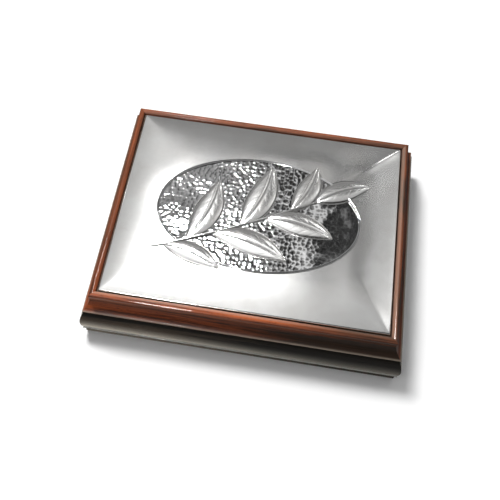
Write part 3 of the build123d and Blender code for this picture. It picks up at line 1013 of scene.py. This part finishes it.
# painted shade over the front left of the oval, a little deeper inside the dishes
front_left = step(-(y + 0.54 * x + 20 * MM), -9 * MM, 6 * MM)
front_left_painted_shade = front_left * (0.42 + 0.25 * (1 - step(mark_level, 0.2, 0.9)))
store(field, "tarnish_and_shade", np.maximum(dish_hollow, front_left_painted_shade))
finish_piece(field, "lid", "silver_plaque", bright_silver)

# %% [markdown]
# The oval's border is two fine beads side by side. It is a profile carried round the ellipse, with its
# sides sunk into the sheet. The outer bead is a quarter lower, and tarnish lies between the two.

# %% Border of the oval
border_rise = 0.45 * MM
border_turn = np.linspace(0, 2 * np.pi, 420, endpoint=False)
across = np.linspace(0, 1, 25)
two_beads = np.abs(np.sin(2 * np.pi * across))
border_outset = (across - 0.08) * border_width * 1.15
border_lift = border_rise * two_beads**0.75 * (1 - 0.25 * (across > 0.5)) + 0.06 * MM
border_lift[[0, -1]] = -0.5 * MM

cosine, sine = np.cos(border_turn), np.sin(border_turn)
ellipse = np.stack([field_half_length * cosine, field_half_depth * sine], -1)
outward = np.stack([field_half_depth * cosine, field_half_length * sine], -1)
outward /= np.linalg.norm(outward, axis=1)[:, None]
border_flat = ellipse[:, None] + outward[:, None] * border_outset[None, :, None]
border_z = sheet_height(border_flat[..., 0], border_flat[..., 1]) + border_lift[None]
border_points = np.concatenate([border_flat, border_z[..., None]], -1)
turns, columns = border_points.shape[:2]
border_quads = grid_quads(turns + 1, columns)[:, ::-1] % (turns * columns)
border = make_mesh("plaque_border", border_points.reshape(-1, 3), border_quads, sharp_degrees=80)
store(border, "tarnish_and_shade", np.broadcast_to(0.95 * (1 - two_beads) ** 1.6, (turns, columns)))
finish_piece(border, "lid", "silver_plaque", bright_silver)

# %% [markdown]
# ## The spray of leaves
#
# Seven leaves grow from a stem that bends across the oval. A leaf is a grid with one parameter along
# its midrib and one across. Its middle line is a parabola, its half width follows a sine, and its
# height is a crown with a groove along the midrib, faint side veins and a fine raised line round it.

# %% Leaf surface
leaf_rise = 1.02 * MM
rim_width = 0.55 * MM
rim_lift = 0.16 * MM
rim_sink = 0.75 * MM
groove_depth, groove_width = 0.34 * MM, 0.55 * MM
vein_depth = 0.05 * MM
midrib_line_width = 0.22 * MM


def leaf_grid(start, angle, length, width, bow, stations=90, blade_points=61):
    """Middle line (L s, 4 b s (1 - s)), half width w sin(pi s^0.92)^0.8, height h (1 - |t|^2.6)^0.7."""
    s = (1 - np.cos(np.linspace(0, np.pi, stations))) / 2
    blade = np.sin(np.linspace(-np.pi / 2, np.pi / 2, blade_points))
    outside = np.array([0.25, 0.5, 0.75, 1.0])
    t = np.concatenate([-np.ones(len(outside)), blade, np.ones(len(outside))])
    beyond = np.concatenate([outside[::-1], 0 * blade, outside])
    on_blade = (beyond == 0)[None]
    ends = np.clip(np.sin(np.pi * s), 0, None)[:, None] ** 0.5
    half_width = width / 2 * np.clip(np.sin(np.pi * s**0.92), 0, None)[:, None] ** 0.8

    middle = np.stack([length * s, 4 * bow * s * (1 - s)], -1)
    heading = np.stack([np.full_like(s, length), 4 * bow * (1 - 2 * s)], -1)
    heading /= np.linalg.norm(heading, axis=1)[:, None]
    normal = np.stack([-heading[:, 1], heading[:, 0]], -1)
    offset = half_width * t[None] + rim_width * ends * (beyond * np.sign(t + 1e-12))[None]
    flat = middle[:, None] + normal[:, None] * offset[..., None]
    cosine, sine = math.cos(math.radians(angle)), math.sin(math.radians(angle))
    x = flat[..., 0] * cosine - flat[..., 1] * sine + start[0]
    y = flat[..., 0] * sine + flat[..., 1] * cosine + start[1]

    from_midrib = np.abs(half_width * t[None])
    crown = np.clip(1 - np.abs(t) ** 2.6, 0, 1)[None] ** 0.7 * ends**0.8
    groove = groove_depth * bell(from_midrib, 0, groove_width) * ends * on_blade
    vein_phase = 6.5 * (s[:, None] + 0.20 * np.abs(t)[None])
    veins = bell(vein_phase % 1, 0.5, 0.07) * (1 - np.abs(t) ** 4)[None] * ends
    rim = rim_lift * np.sin(np.pi * beyond)[None] * ends - rim_sink * (beyond == 1)[None]
    height = leaf_rise * crown - groove - vein_depth * veins * on_blade + rim

    outline_hollow = 0.8 * (1 - np.sin(np.pi * np.clip(beyond, 0, 1)))[None] * (np.abs(t) > 0.96)[None]
    midrib_hollow = 0.6 * bell(from_midrib, 0, midrib_line_width) * on_blade
    return np.stack([x, y, height], -1), np.maximum(outline_hollow, midrib_hollow) * ends**0.5


# %% [markdown]
# The stem is an arc across the oval, thick where it was cut and thin at its tip. Its surface is a grid
# too, with one parameter along the arc and one across it, and its edges are sunk into the sheet.

# %% Stem
stem_ends_and_middle = [
    (-1.02 * field_half_length, -0.87 * field_half_depth),
    (-0.12 * field_half_length, -0.22 * field_half_depth),
    (0.61 * field_half_length, 0.42 * field_half_depth),
]
stem_rise = 0.75 * MM
stem_sink = 0.6 * MM
stem_line = arc_through(*stem_ends_and_middle, steps=121)
stem_way = np.diff(stem_line, axis=0, append=2 * stem_line[-1:] - stem_line[-2:-1])
stem_heading = stem_way / np.linalg.norm(stem_way, axis=1)[:, None]
stem_normal = np.stack([-stem_heading[:, 1], stem_heading[:, 0]], -1)


def stem_grid():
    """Half width (0.95 - 0.45 s) mm drawn in at both ends, height h root(1 - t^2), with sunk edges."""
    t = np.linspace(-1, 1, 17)
    s = np.linspace(0, 1, len(stem_line))
    taper = np.clip(np.minimum(s, 1 - s) / 0.06, 0, 1) ** 0.5
    half_width = (0.95 - 0.45 * s) * taper * MM
    flat = stem_line[:, None] + stem_normal[:, None] * (half_width[:, None] * t[None])[..., None]
    lift = stem_rise * np.sqrt(np.clip(1 - t**2, 0, 1)) - stem_sink * (np.abs(t) == 1)
    points = np.concatenate([flat, (taper[:, None] * lift[None])[..., None]], -1)
    return points, np.broadcast_to(0.8 * np.abs(t) ** 6, points.shape[:2])


print("stem points along its arc:", len(stem_line))

# %% [markdown]
# The leaves stand along the stem at uneven steps, to its left and its right by turns, each a little
# bowed. Leaves and stem are worked out as heights alone and then set on the sheet, as the silversmith
# presses them up from the same metal, and all of it becomes one mesh.

# %% Leaves on the stem
# place along the stem, turn from the stem in degrees, length and width as shares of the oval's halves
leaf_shares = [
    (0.08, -40, 0.62, 0.34),
    (0.22, 50, 0.76, 0.42),
    (0.36, -40, 0.78, 0.42),
    (0.52, 46, 0.78, 0.43),
    (0.66, -38, 0.70, 0.40),
    (0.82, 40, 0.60, 0.36),
    (0.97, -4, 0.60, 0.38),
]
leaf_bow_share = 0.07
reliefs = []
for place_share, turn, length_share, width_share in leaf_shares:
    index = int(round(place_share * (len(stem_line) - 1)))
    angle = math.degrees(math.atan2(stem_heading[index, 1], stem_heading[index, 0])) + turn
    length = length_share * field_half_length
    bow = -math.copysign(leaf_bow_share * length, turn)
    reliefs.append(leaf_grid(stem_line[index], angle, length, width_share * field_half_depth, bow))
reliefs.append(stem_grid())

spray_grids = []
for relief_points, _ in reliefs:
    relief_points[..., 2] += sheet_height(relief_points[..., 0], relief_points[..., 1])
    spray_grids.append((relief_points.reshape(-1, 3), grid_quads(*relief_points.shape[:2])))
spray = make_mesh("plaque_leaves", *join_grids(spray_grids), sharp_degrees=80)
store(spray, "tarnish_and_shade", np.concatenate([tarnish_and_shade.ravel() for _, tarnish_and_shade in reliefs]))
finish_piece(spray, "lid", "silver_plaque", satin_silver)

# %% [markdown]
# ## Velvet and felt
#
# The compartments, the walls and the underside of the lid are lined with short velvet, and felt covers
# the resting face. The pile of such cloth is far too fine to model. It is in the material: a dark
# colour with a pale sheen that shows at a slant, varied by how the nap lies.

# %% Cloth materials
def pile(name, deep, raised, sheen, sheen_tint, nap_scale, lay_scale):
    """Cloth with a nap: two noises vary its colour, and a fine one its bump."""
    material, tree, shader = new_material(name)
    at = object_place(tree)
    lay = noise(tree, at, (lay_scale,) * 3, detail=3)
    nap = noise(tree, at, (nap_scale,) * 3, detail=3, roughness=0.7)
    shade = plus(tree, times(tree, lay, 0.6), times(tree, nap, 0.4))
    between = tuple((a + b) / 2 for a, b in zip(deep, raised))
    set_shader(
        tree, shader, Base_Color=ramp(tree, shade, [(0.32, deep), (0.5, between), (0.68, raised)]),
        Roughness=remap(tree, nap, 0.3, 0.7, 0.95, 0.8), Normal=dented(tree, nap, 0.5, 0.0002),
        Sheen_Weight=sheen, Sheen_Roughness=0.45, Sheen_Tint=sheen_tint, Specular_IOR_Level=0.2,
    )
    return material


velvet = pile(
    "burgundy_velvet", (0.045, 0.003, 0.010), (0.16, 0.012, 0.030), 0.8, (0.95, 0.45, 0.55, 1), 2600, 90
)
felt = pile(
    "dark_green_felt", (0.020, 0.032, 0.022), (0.055, 0.080, 0.058), 0.25, (0.8, 0.9, 0.8, 1), 1800, 240
)
print("cloths:", velvet.name, felt.name)

# %% [markdown]
# Each lining is glued flat to a wall or a board, so it is made straight away as a thin closed sheet and
# needs no cloth simulation. Its shown face is gently uneven and rolls over at the edges, and its back
# is flat. Both faces use one grid, and a ring of quads joins them. The sheet fills the box of the node
# that it stands for, less a hair of play on every side.

# %% Lining sheets
lining_play = 0.03 * MM
lining_cell = 1.6 * MM
lining_roll = 0.35 * MM


def lining(name, node, thin_axis, face_sign, seed, wave):
    """Shown face at thickness - roll - wave over the hidden one, on a grid that is finer at the edges."""
    low, high = (np.array(corner) + sign * lining_play for corner, sign in zip(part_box(node), (1, -1)))
    axes = [axis for axis in range(3) if axis != thin_axis]
    size, centre = high - low, (low + high) / 2
    thickness = size[thin_axis]
    counts = [int(np.clip(round(size[axis] / lining_cell), 12, 90)) for axis in axes]
    shares = np.meshgrid(*(np.linspace(-1, 1, n) for n in counts), indexing="ij")
    shares = [np.sin(share * np.pi / 2) for share in shares]
    places = [centre[axis] + share * size[axis] / 2 for axis, share in zip(axes, shares)]
    to_edge = np.minimum(*((1 - np.abs(share)) * size[axis] / 2 for axis, share in zip(axes, shares)))
    rolled = np.clip(1 - to_edge / lining_roll, 0, 1)
    fall = min(lining_roll, thickness * 0.7) * (1 - np.sqrt(1 - rolled**2))
    lift = thickness - fall - wave * (0.5 + 0.5 * ripple(*places, 14 * MM, seed)) * (1 - rolled)

    points = np.zeros((2, *lift.shape, 3))
    points[..., axes[0]], points[..., axes[1]] = places
    back = low[thin_axis] if face_sign > 0 else high[thin_axis]
    points[..., thin_axis] = back + face_sign * np.stack([lift, 0 * lift])
    number = np.arange(lift.size).reshape(lift.shape)
    ring = np.concatenate([number[0, :-1], number[:-1, -1], number[-1, :0:-1], number[:0:-1, 0]])
    ahead = np.roll(ring, -1)
    edge = np.stack([ring, ahead, ahead + lift.size, ring + lift.size], -1)
    quads = grid_quads(*lift.shape)
    faces = np.concatenate([quads, quads[:, ::-1] + lift.size, edge])
    piece = make_mesh(name, points.reshape(-1, 3), faces, sharp_degrees=60)
    return piece, tuple(float(size[axis]) for axis in axes)


# %% [markdown]
# The box has seven linings: five on the base's floor and walls, one under the lid and the felt under
# the foot.

# %% Seven linings
# name, node, thin axis, which way it faces, body, how it is held, slot
LININGS = [
    ("velvet_floor", "floor_lining", 2, 1, "base", "laid", "velvet"),
    ("velvet_front", "wall_lining_front", 1, 1, "base", "stretched", "velvet"),
    ("velvet_back", "wall_lining_back", 1, -1, "base", "stretched", "velvet"),
    ("velvet_left", "wall_lining_left", 0, 1, "base", "stretched", "velvet"),
    ("velvet_right", "wall_lining_right", 0, -1, "base", "stretched", "velvet"),
    ("velvet_lid", "lid_lining", 2, -1, "lid", "stretched", "velvet"),
    ("felt_foot", "base_felt", 2, -1, "base", "stretched", "felt"),
]
CLOTHS = {"velvet": (velvet, 0.10 * MM), "felt": (felt, 0.0)}
for seed, (name, node, thin_axis, face_sign, body, held, slot) in enumerate(LININGS, start=40):
    cloth, wave = CLOTHS[slot]
    piece, flat_size = lining(name, node, thin_axis, face_sign, seed, wave)
    turn_faces_outwards(piece)
    finish_piece(piece, body, node, cloth)

# %% [markdown]
# ## Brass and the pieces that keep their shape
#
# The hinges, pins and screws are right as they come, and so are the boards and the slips of wood, so
# they only get materials. Brass that is handled rarely keeps its polish but for a brown bloom. The
# filler under the sheet is hidden, but it is still a piece of the box, and it gets the look of cast
# resin: a dull grey-brown with a fine mottle.

# %% Brass and resin
def brass_finish():
    """Brass with a drifting bloom that darkens it and makes it duller, and faint drawing marks."""
    material, tree, shader = new_material("polished_brass")
    at = object_place(tree)
    bloom = noise(tree, at, (420, 420, 420))
    drawing_marks = noise(tree, at, (300, 9000, 9000), detail=2)
    stops = [(0.35, (0.80, 0.58, 0.26)), (0.55, (0.74, 0.50, 0.20)), (0.75, (0.42, 0.25, 0.10))]
    set_shader(
        tree, shader, Metallic=1.0, Base_Color=ramp(tree, bloom, stops),
        Roughness=remap(tree, bloom, 0.35, 0.75, 0.16, 0.42),
        Normal=dented(tree, drawing_marks, 0.04, 0.00003),
    )
    return material


def resin_finish():
    """Cast resin whose colour and roughness follow one fine mottle."""
    material, tree, shader = new_material("cast_resin")
    mottle = noise(tree, object_place(tree), (700, 700, 700))
    set_shader(
        tree, shader, Base_Color=ramp(tree, mottle, [(0.3, (0.36, 0.33, 0.29)), (0.7, (0.50, 0.46, 0.41))]),
        Roughness=remap(tree, mottle, 0.3, 0.7, 0.55, 0.75),
    )
    return material


brass = brass_finish()
keeps_shape = {name: brass for name in nodes if name.startswith("hinge_") or name.endswith("_screws")}
keeps_shape.update(divider_left=slip_lacquer, divider_right=slip_lacquer)
keeps_shape.update(bottom_board=painted_shade_board, lid_panel=painted_shade_board, plaque_core=resin_finish())
for name, material in keeps_shape.items():
    mesh = nodes[name].data
    mesh.materials.clear()
    mesh.materials.append(material)
print("nodes with new materials:", len(keeps_shape))

# %% [markdown]
# ## Floor, light and camera
#
# The box lies on a white sweep: a floor that curves up into a wall all round. Seen directly or in a
# reflection, the floor adds a little light of its own, so that it reads as white and still keeps the
# soft shadow of the box. Further out it is fully white. What the lacquer and the silver mirror close
# to the box is brighter on the left, and a little warm.

# %% Sweep
sweep_reach, sweep_curve, sweep_height = 2.2, 0.6, 1.3
sweep_turn = np.linspace(0, 2 * np.pi, 97)[:-1]
floor_share = np.linspace(0.0, 1, 12)
curve_turn = np.linspace(0.1, 1, 14) * np.pi / 2
sweep_edge = sweep_reach + sweep_curve
profile_r = np.concatenate(
    [floor_share**1.5 * sweep_reach, sweep_reach + sweep_curve * np.sin(curve_turn), [sweep_edge]]
)
profile_z = np.concatenate([0 * floor_share, sweep_curve * (1 - np.cos(curve_turn)), [sweep_height]])
profile_r[0] = 0.001
sweep_points = np.stack(
    np.broadcast_arrays(
        profile_r[:, None] * np.cos(sweep_turn), profile_r[:, None] * np.sin(sweep_turn), profile_z[:, None]
    ),
    -1,
)
sweep_quads = grid_quads(*sweep_points.shape[:2], wrap_columns=True)
sweep = make_mesh("sweep", sweep_points.reshape(-1, 3), sweep_quads, [np.arange(len(sweep_turn))])
print("sweep quads:", len(sweep_quads))

# %% [markdown]
# The sweep's material is plain white paper and a glow added together. Light Path says whether a ray
# comes from the camera or from a glossy surface, and the distance from the box says how far out it
# lands. The paper itself lights the box no more than a grey floor would.

# %% White paper with a glow
sweep_material, tree, shader = new_material("white_sweep")
tree.nodes.remove(shader)
light_path = put(tree, "ShaderNodeLightPath").outputs
seen = light_path["Is Camera Ray"]
mirrored = math_node(tree, "MAXIMUM", light_path["Is Glossy Ray"], light_path["Is Transmission Ray"])
spot = object_place(tree)
spot_xyz = put(tree, "ShaderNodeSeparateXYZ", {0: spot}).outputs
beyond_x = minus(tree, math_node(tree, "ABSOLUTE", spot_xyz["X"]), cad_high.x)
beyond_y = minus(tree, math_node(tree, "ABSOLUTE", spot_xyz["Y"]), cad_high.y)
beyond_box = math_node(tree, "MAXIMUM", beyond_x, beyond_y)
from_middle = put(tree, "ShaderNodeVectorMath", {0: spot}, operation="LENGTH").outputs["Value"]

near_strength = remap(tree, beyond_box, 0.004, 0.020, 0.55, 0.0)
near_glow = times(tree, near_strength, remap(tree, spot_xyz["X"], -0.07, 0.05, 1.5, 0.42))
far_glow = remap(tree, from_middle, 0.5, 2.0, 0.0, 0.3)
mirror_glow = times(tree, mirrored, plus(tree, near_glow, far_glow))
camera_glow = times(tree, seen, remap(tree, from_middle, 0.12, 0.5, 0.05, 1.0))
warm_share = times(tree, mirrored, remap(tree, beyond_box, 0.02, 0.12, 1.0, 0.0))
glow_colour = mix_colour(tree, warm_share, (1, 1, 1, 1), (1.0, 0.93, 0.80, 1))
glow_strength = plus(tree, camera_glow, mirror_glow)
glow = put(tree, "ShaderNodeEmission", {"Color": glow_colour, "Strength": glow_strength})

unseen_colour = mix_colour(tree, mirrored, (0.30, 0.30, 0.30, 1), (0.10, 0.10, 0.10, 1))
paper_colour = mix_colour(tree, seen, unseen_colour, (0.96, 0.96, 0.96, 1))
paper = put(tree, "ShaderNodeBsdfDiffuse", {"Color": paper_colour})
both = put(tree, "ShaderNodeAddShader", {0: glow.outputs[0], 1: paper.outputs[0]})
feed(tree, tree.nodes["Material Output"].inputs["Surface"], both.outputs[0])
sweep.data.materials.append(sweep_material)
print("sweep material nodes:", len(tree.nodes))

# %% [markdown]
# Four lamps light the box. The main one stands high on the left and a little behind, as the shadows in
# front and on the right tell, and it is kept out of reflections. The front one is wide and weak and
# opens the shadows. The other two are small and show only in glossy surfaces: one gives the glare on
# the silver and the thin line of light on the left bead, the other the line on the front bead's flank.

# %% Lamps
def area_light(name, direction, distance, size, share):
    """Rectangle that faces the box, of power share * pi^2 * distance^2: share 1 lights white fully."""
    data = bpy.data.lights.new(name, "AREA")
    data.shape = "RECTANGLE"
    data.size, data.size_y = size
    data.energy = share * math.pi**2 * distance**2
    lamp = bpy.data.objects.new(name, data)
    bpy.context.scene.collection.objects.link(lamp)
    towards_lamp = np.array(direction, float)
    towards_lamp /= np.linalg.norm(towards_lamp)
    lamp.location = towards_lamp * distance
    lamp.rotation_mode = "QUATERNION"
    lamp.rotation_quaternion = (-Vector(towards_lamp)).to_track_quat("-Z", "Y")
    return lamp


main_softbox = area_light("main_softbox", (-0.35, 0.30, 1.0), 0.9, (0.20, 0.20), 0.95)
main_softbox.visible_glossy = False
bead_light = area_light("bead_light", (-0.158, 0.324, 0.825), 0.9, (0.09, 0.10), 0.34)
low_window = area_light("low_window", (-0.162, -0.866, 0.400), 0.97, (0.09, 0.10), 0.30)
for small_lamp in (bead_light, low_window):
    small_lamp.visible_diffuse = False
area_light("front_softbox", (-0.35, -0.45, 0.82), 0.8, (0.4, 0.4), 0.115)
print("lamps:", len(bpy.data.lights))

# %% [markdown]
# Metal shows mostly what stands around it, so the silver needs a room to mirror. The room is the
# world's colour. A direction that points up meets a ceiling one unit above the box at X / Z and Y / Z.
# What shines on that ceiling is a product of soft steps: a rectangle, as of a window pane or a softbox,
# or a slanting streak.

# %% Ceiling of the room
world = bpy.data.worlds.new("studio")
bpy.context.scene.world = world
world.use_nodes = True
room = world.node_tree
direction = put(room, "ShaderNodeTexCoord").outputs["Generated"]
direction_xyz = put(room, "ShaderNodeSeparateXYZ", {0: direction}).outputs
up = math_node(room, "MAXIMUM", direction_xyz["Z"], 0.001)
across_room = math_node(room, "DIVIDE", direction_xyz["X"], up)
along_room = math_node(room, "DIVIDE", direction_xyz["Y"], up)


def fade_in(value, start, width):
    """0 up to start and 1 from start + width."""
    return remap(room, value, start, start + width)


def fade_out(value, end, width):
    """1 up to end - width and 0 from end."""
    return remap(room, value, end - width, end, 1.0, 0.0)


def product(first, *others):
    """All factors multiplied with one another."""
    for other in others:
        first = times(room, other, first)
    return first


def pane(low_x, high_x, low_y, high_y, strength, soft=0.012):
    """A rectangle on the ceiling: its strength times four soft edges."""
    across = fade_in(across_room, low_x, soft), fade_out(across_room, high_x, soft)
    return product(strength, *across, fade_in(along_room, low_y, soft), fade_out(along_room, high_y, soft))


def streak(start, end, half_width, strength, soft=0.02):
    """A slanting line on the ceiling: its strength, a soft step away from the line, and two soft ends."""
    (start_x, start_y), (end_x, end_y) = start, end
    length = math.hypot(end_x - start_x, end_y - start_y)
    unit_x, unit_y = (end_x - start_x) / length, (end_y - start_y) / length
    first = start_x * unit_x + start_y * unit_y
    along = plus(room, times(room, across_room, unit_x), times(room, along_room, unit_y))
    aside = minus(room, times(room, across_room, unit_y), times(room, along_room, unit_x))
    away = math_node(room, "ABSOLUTE", minus(room, aside, start_x * unit_y - start_y * unit_x))
    ends = fade_in(along, first, 8 * soft), fade_out(along, first + length, soft)
    return product(strength, fade_out(away, half_width + soft, soft), *ends)


print("room nodes so far:", len(room.nodes))

# %% [markdown]
# The panes stand where the silver has its bright fields, as the reflections in the photograph tell, and
# the streak lights the crease in the back right corner. A low band of light runs all round.

# %% Lights in the room
room_lights = [
    pane(-0.80, 0.06, -0.20, 0.54, 0.88, 0.14),
    pane(-0.70, -0.20, 0.46, 1.02, 0.48, 0.08),
    pane(-0.26, -0.07, 0.50, 0.95, 0.28, 0.04),
    pane(-0.04, 0.04, 0.46, 0.78, 0.70),
    pane(0.12, 0.24, 0.56, 0.68, 0.17),
    pane(-0.12, 0.12, -0.10, 0.53, 0.40, 0.08),
    pane(0.06, 0.90, -0.10, 0.53, 0.42, 0.08),
    pane(0.24, 0.90, 0.44, 0.94, 0.38, 0.06),
    pane(0.23, 0.60, 0.38, 0.60, 0.34, 0.06),
    pane(-0.60, 0.70, 0.84, 1.25, 0.13, 0.12),
    pane(0.38, 0.64, 0.34, 0.47, 0.45, 0.04),
    pane(0.49, 0.86, 0.50, 0.74, 1.3, 0.08),
    streak((0.19, 0.82), (0.44, 1.18), 0.045, 6.0),
    times(room, remap(room, direction_xyz["Z"], 0.62, 0.72, 1.0, 0.0), 0.19),
]
room_level = 0.03
for room_light in room_lights:
    room_level = plus(room, room_light, room_level)
background = room.nodes["Background"]
background.inputs["Color"].default_value = (1, 1, 1, 1)
feed(room, background.inputs["Strength"], room_level)
print("lights in the room:", len(room_lights))

# %% [markdown]
# The camera looks down from the front, a little from the right. Its distance, angles and lens were
# found by laying the box's own edges over the photograph: heading and elevation in degrees, the focal
# length in pixels of a 500 pixel wide picture, and the picture point that the lens axis goes through.

# %% Camera
picture_size = 500.0
focal_px = 769.17
axis_px = (231.64, 216.48)
yaw, elevation, roll = math.radians(7.42), math.radians(59.11), math.radians(-1.95)
distance_mm = 388.18
aim_px = (25.52, 11.47)
aim_height_mm = 21.3

ground_reach = math.cos(elevation)
ahead = -np.array([math.sin(yaw) * ground_reach, -math.cos(yaw) * ground_reach, math.sin(elevation)])
right = np.cross(ahead, [0, 0, 1])
right /= np.linalg.norm(right)
down = np.cross(ahead, right)
rolled_right = math.cos(roll) * right + math.sin(roll) * down
rolled_down = -math.sin(roll) * right + math.cos(roll) * down
aside, below = (px / focal_px * distance_mm * MM for px in aim_px)
aim = np.array([0, 0, aim_height_mm * MM])
camera_place = aim - rolled_right * aside - rolled_down * below - ahead * distance_mm * MM

camera_data = bpy.data.cameras.new("camera")
camera_data.sensor_width = 36.0
camera_data.lens = focal_px / picture_size * camera_data.sensor_width
camera_data.shift_x = (picture_size / 2 - axis_px[0]) / picture_size
camera_data.shift_y = (axis_px[1] - picture_size / 2) / picture_size
camera_data.clip_start, camera_data.clip_end = 0.01, 20.0
camera = bpy.data.objects.new("camera", camera_data)
bpy.context.scene.collection.objects.link(camera)
camera.rotation_mode = "QUATERNION"
camera_axes = Matrix([[rolled_right[k], -rolled_down[k], -ahead[k]] for k in range(3)])
camera.rotation_quaternion = camera_axes.to_quaternion()
camera.location = camera_place
bpy.context.scene.camera = camera
bpy.context.scene.view_settings.view_transform = "Standard"
print("camera at", [round(float(v), 4) for v in camera_place], "lens", round(camera_data.lens, 2))
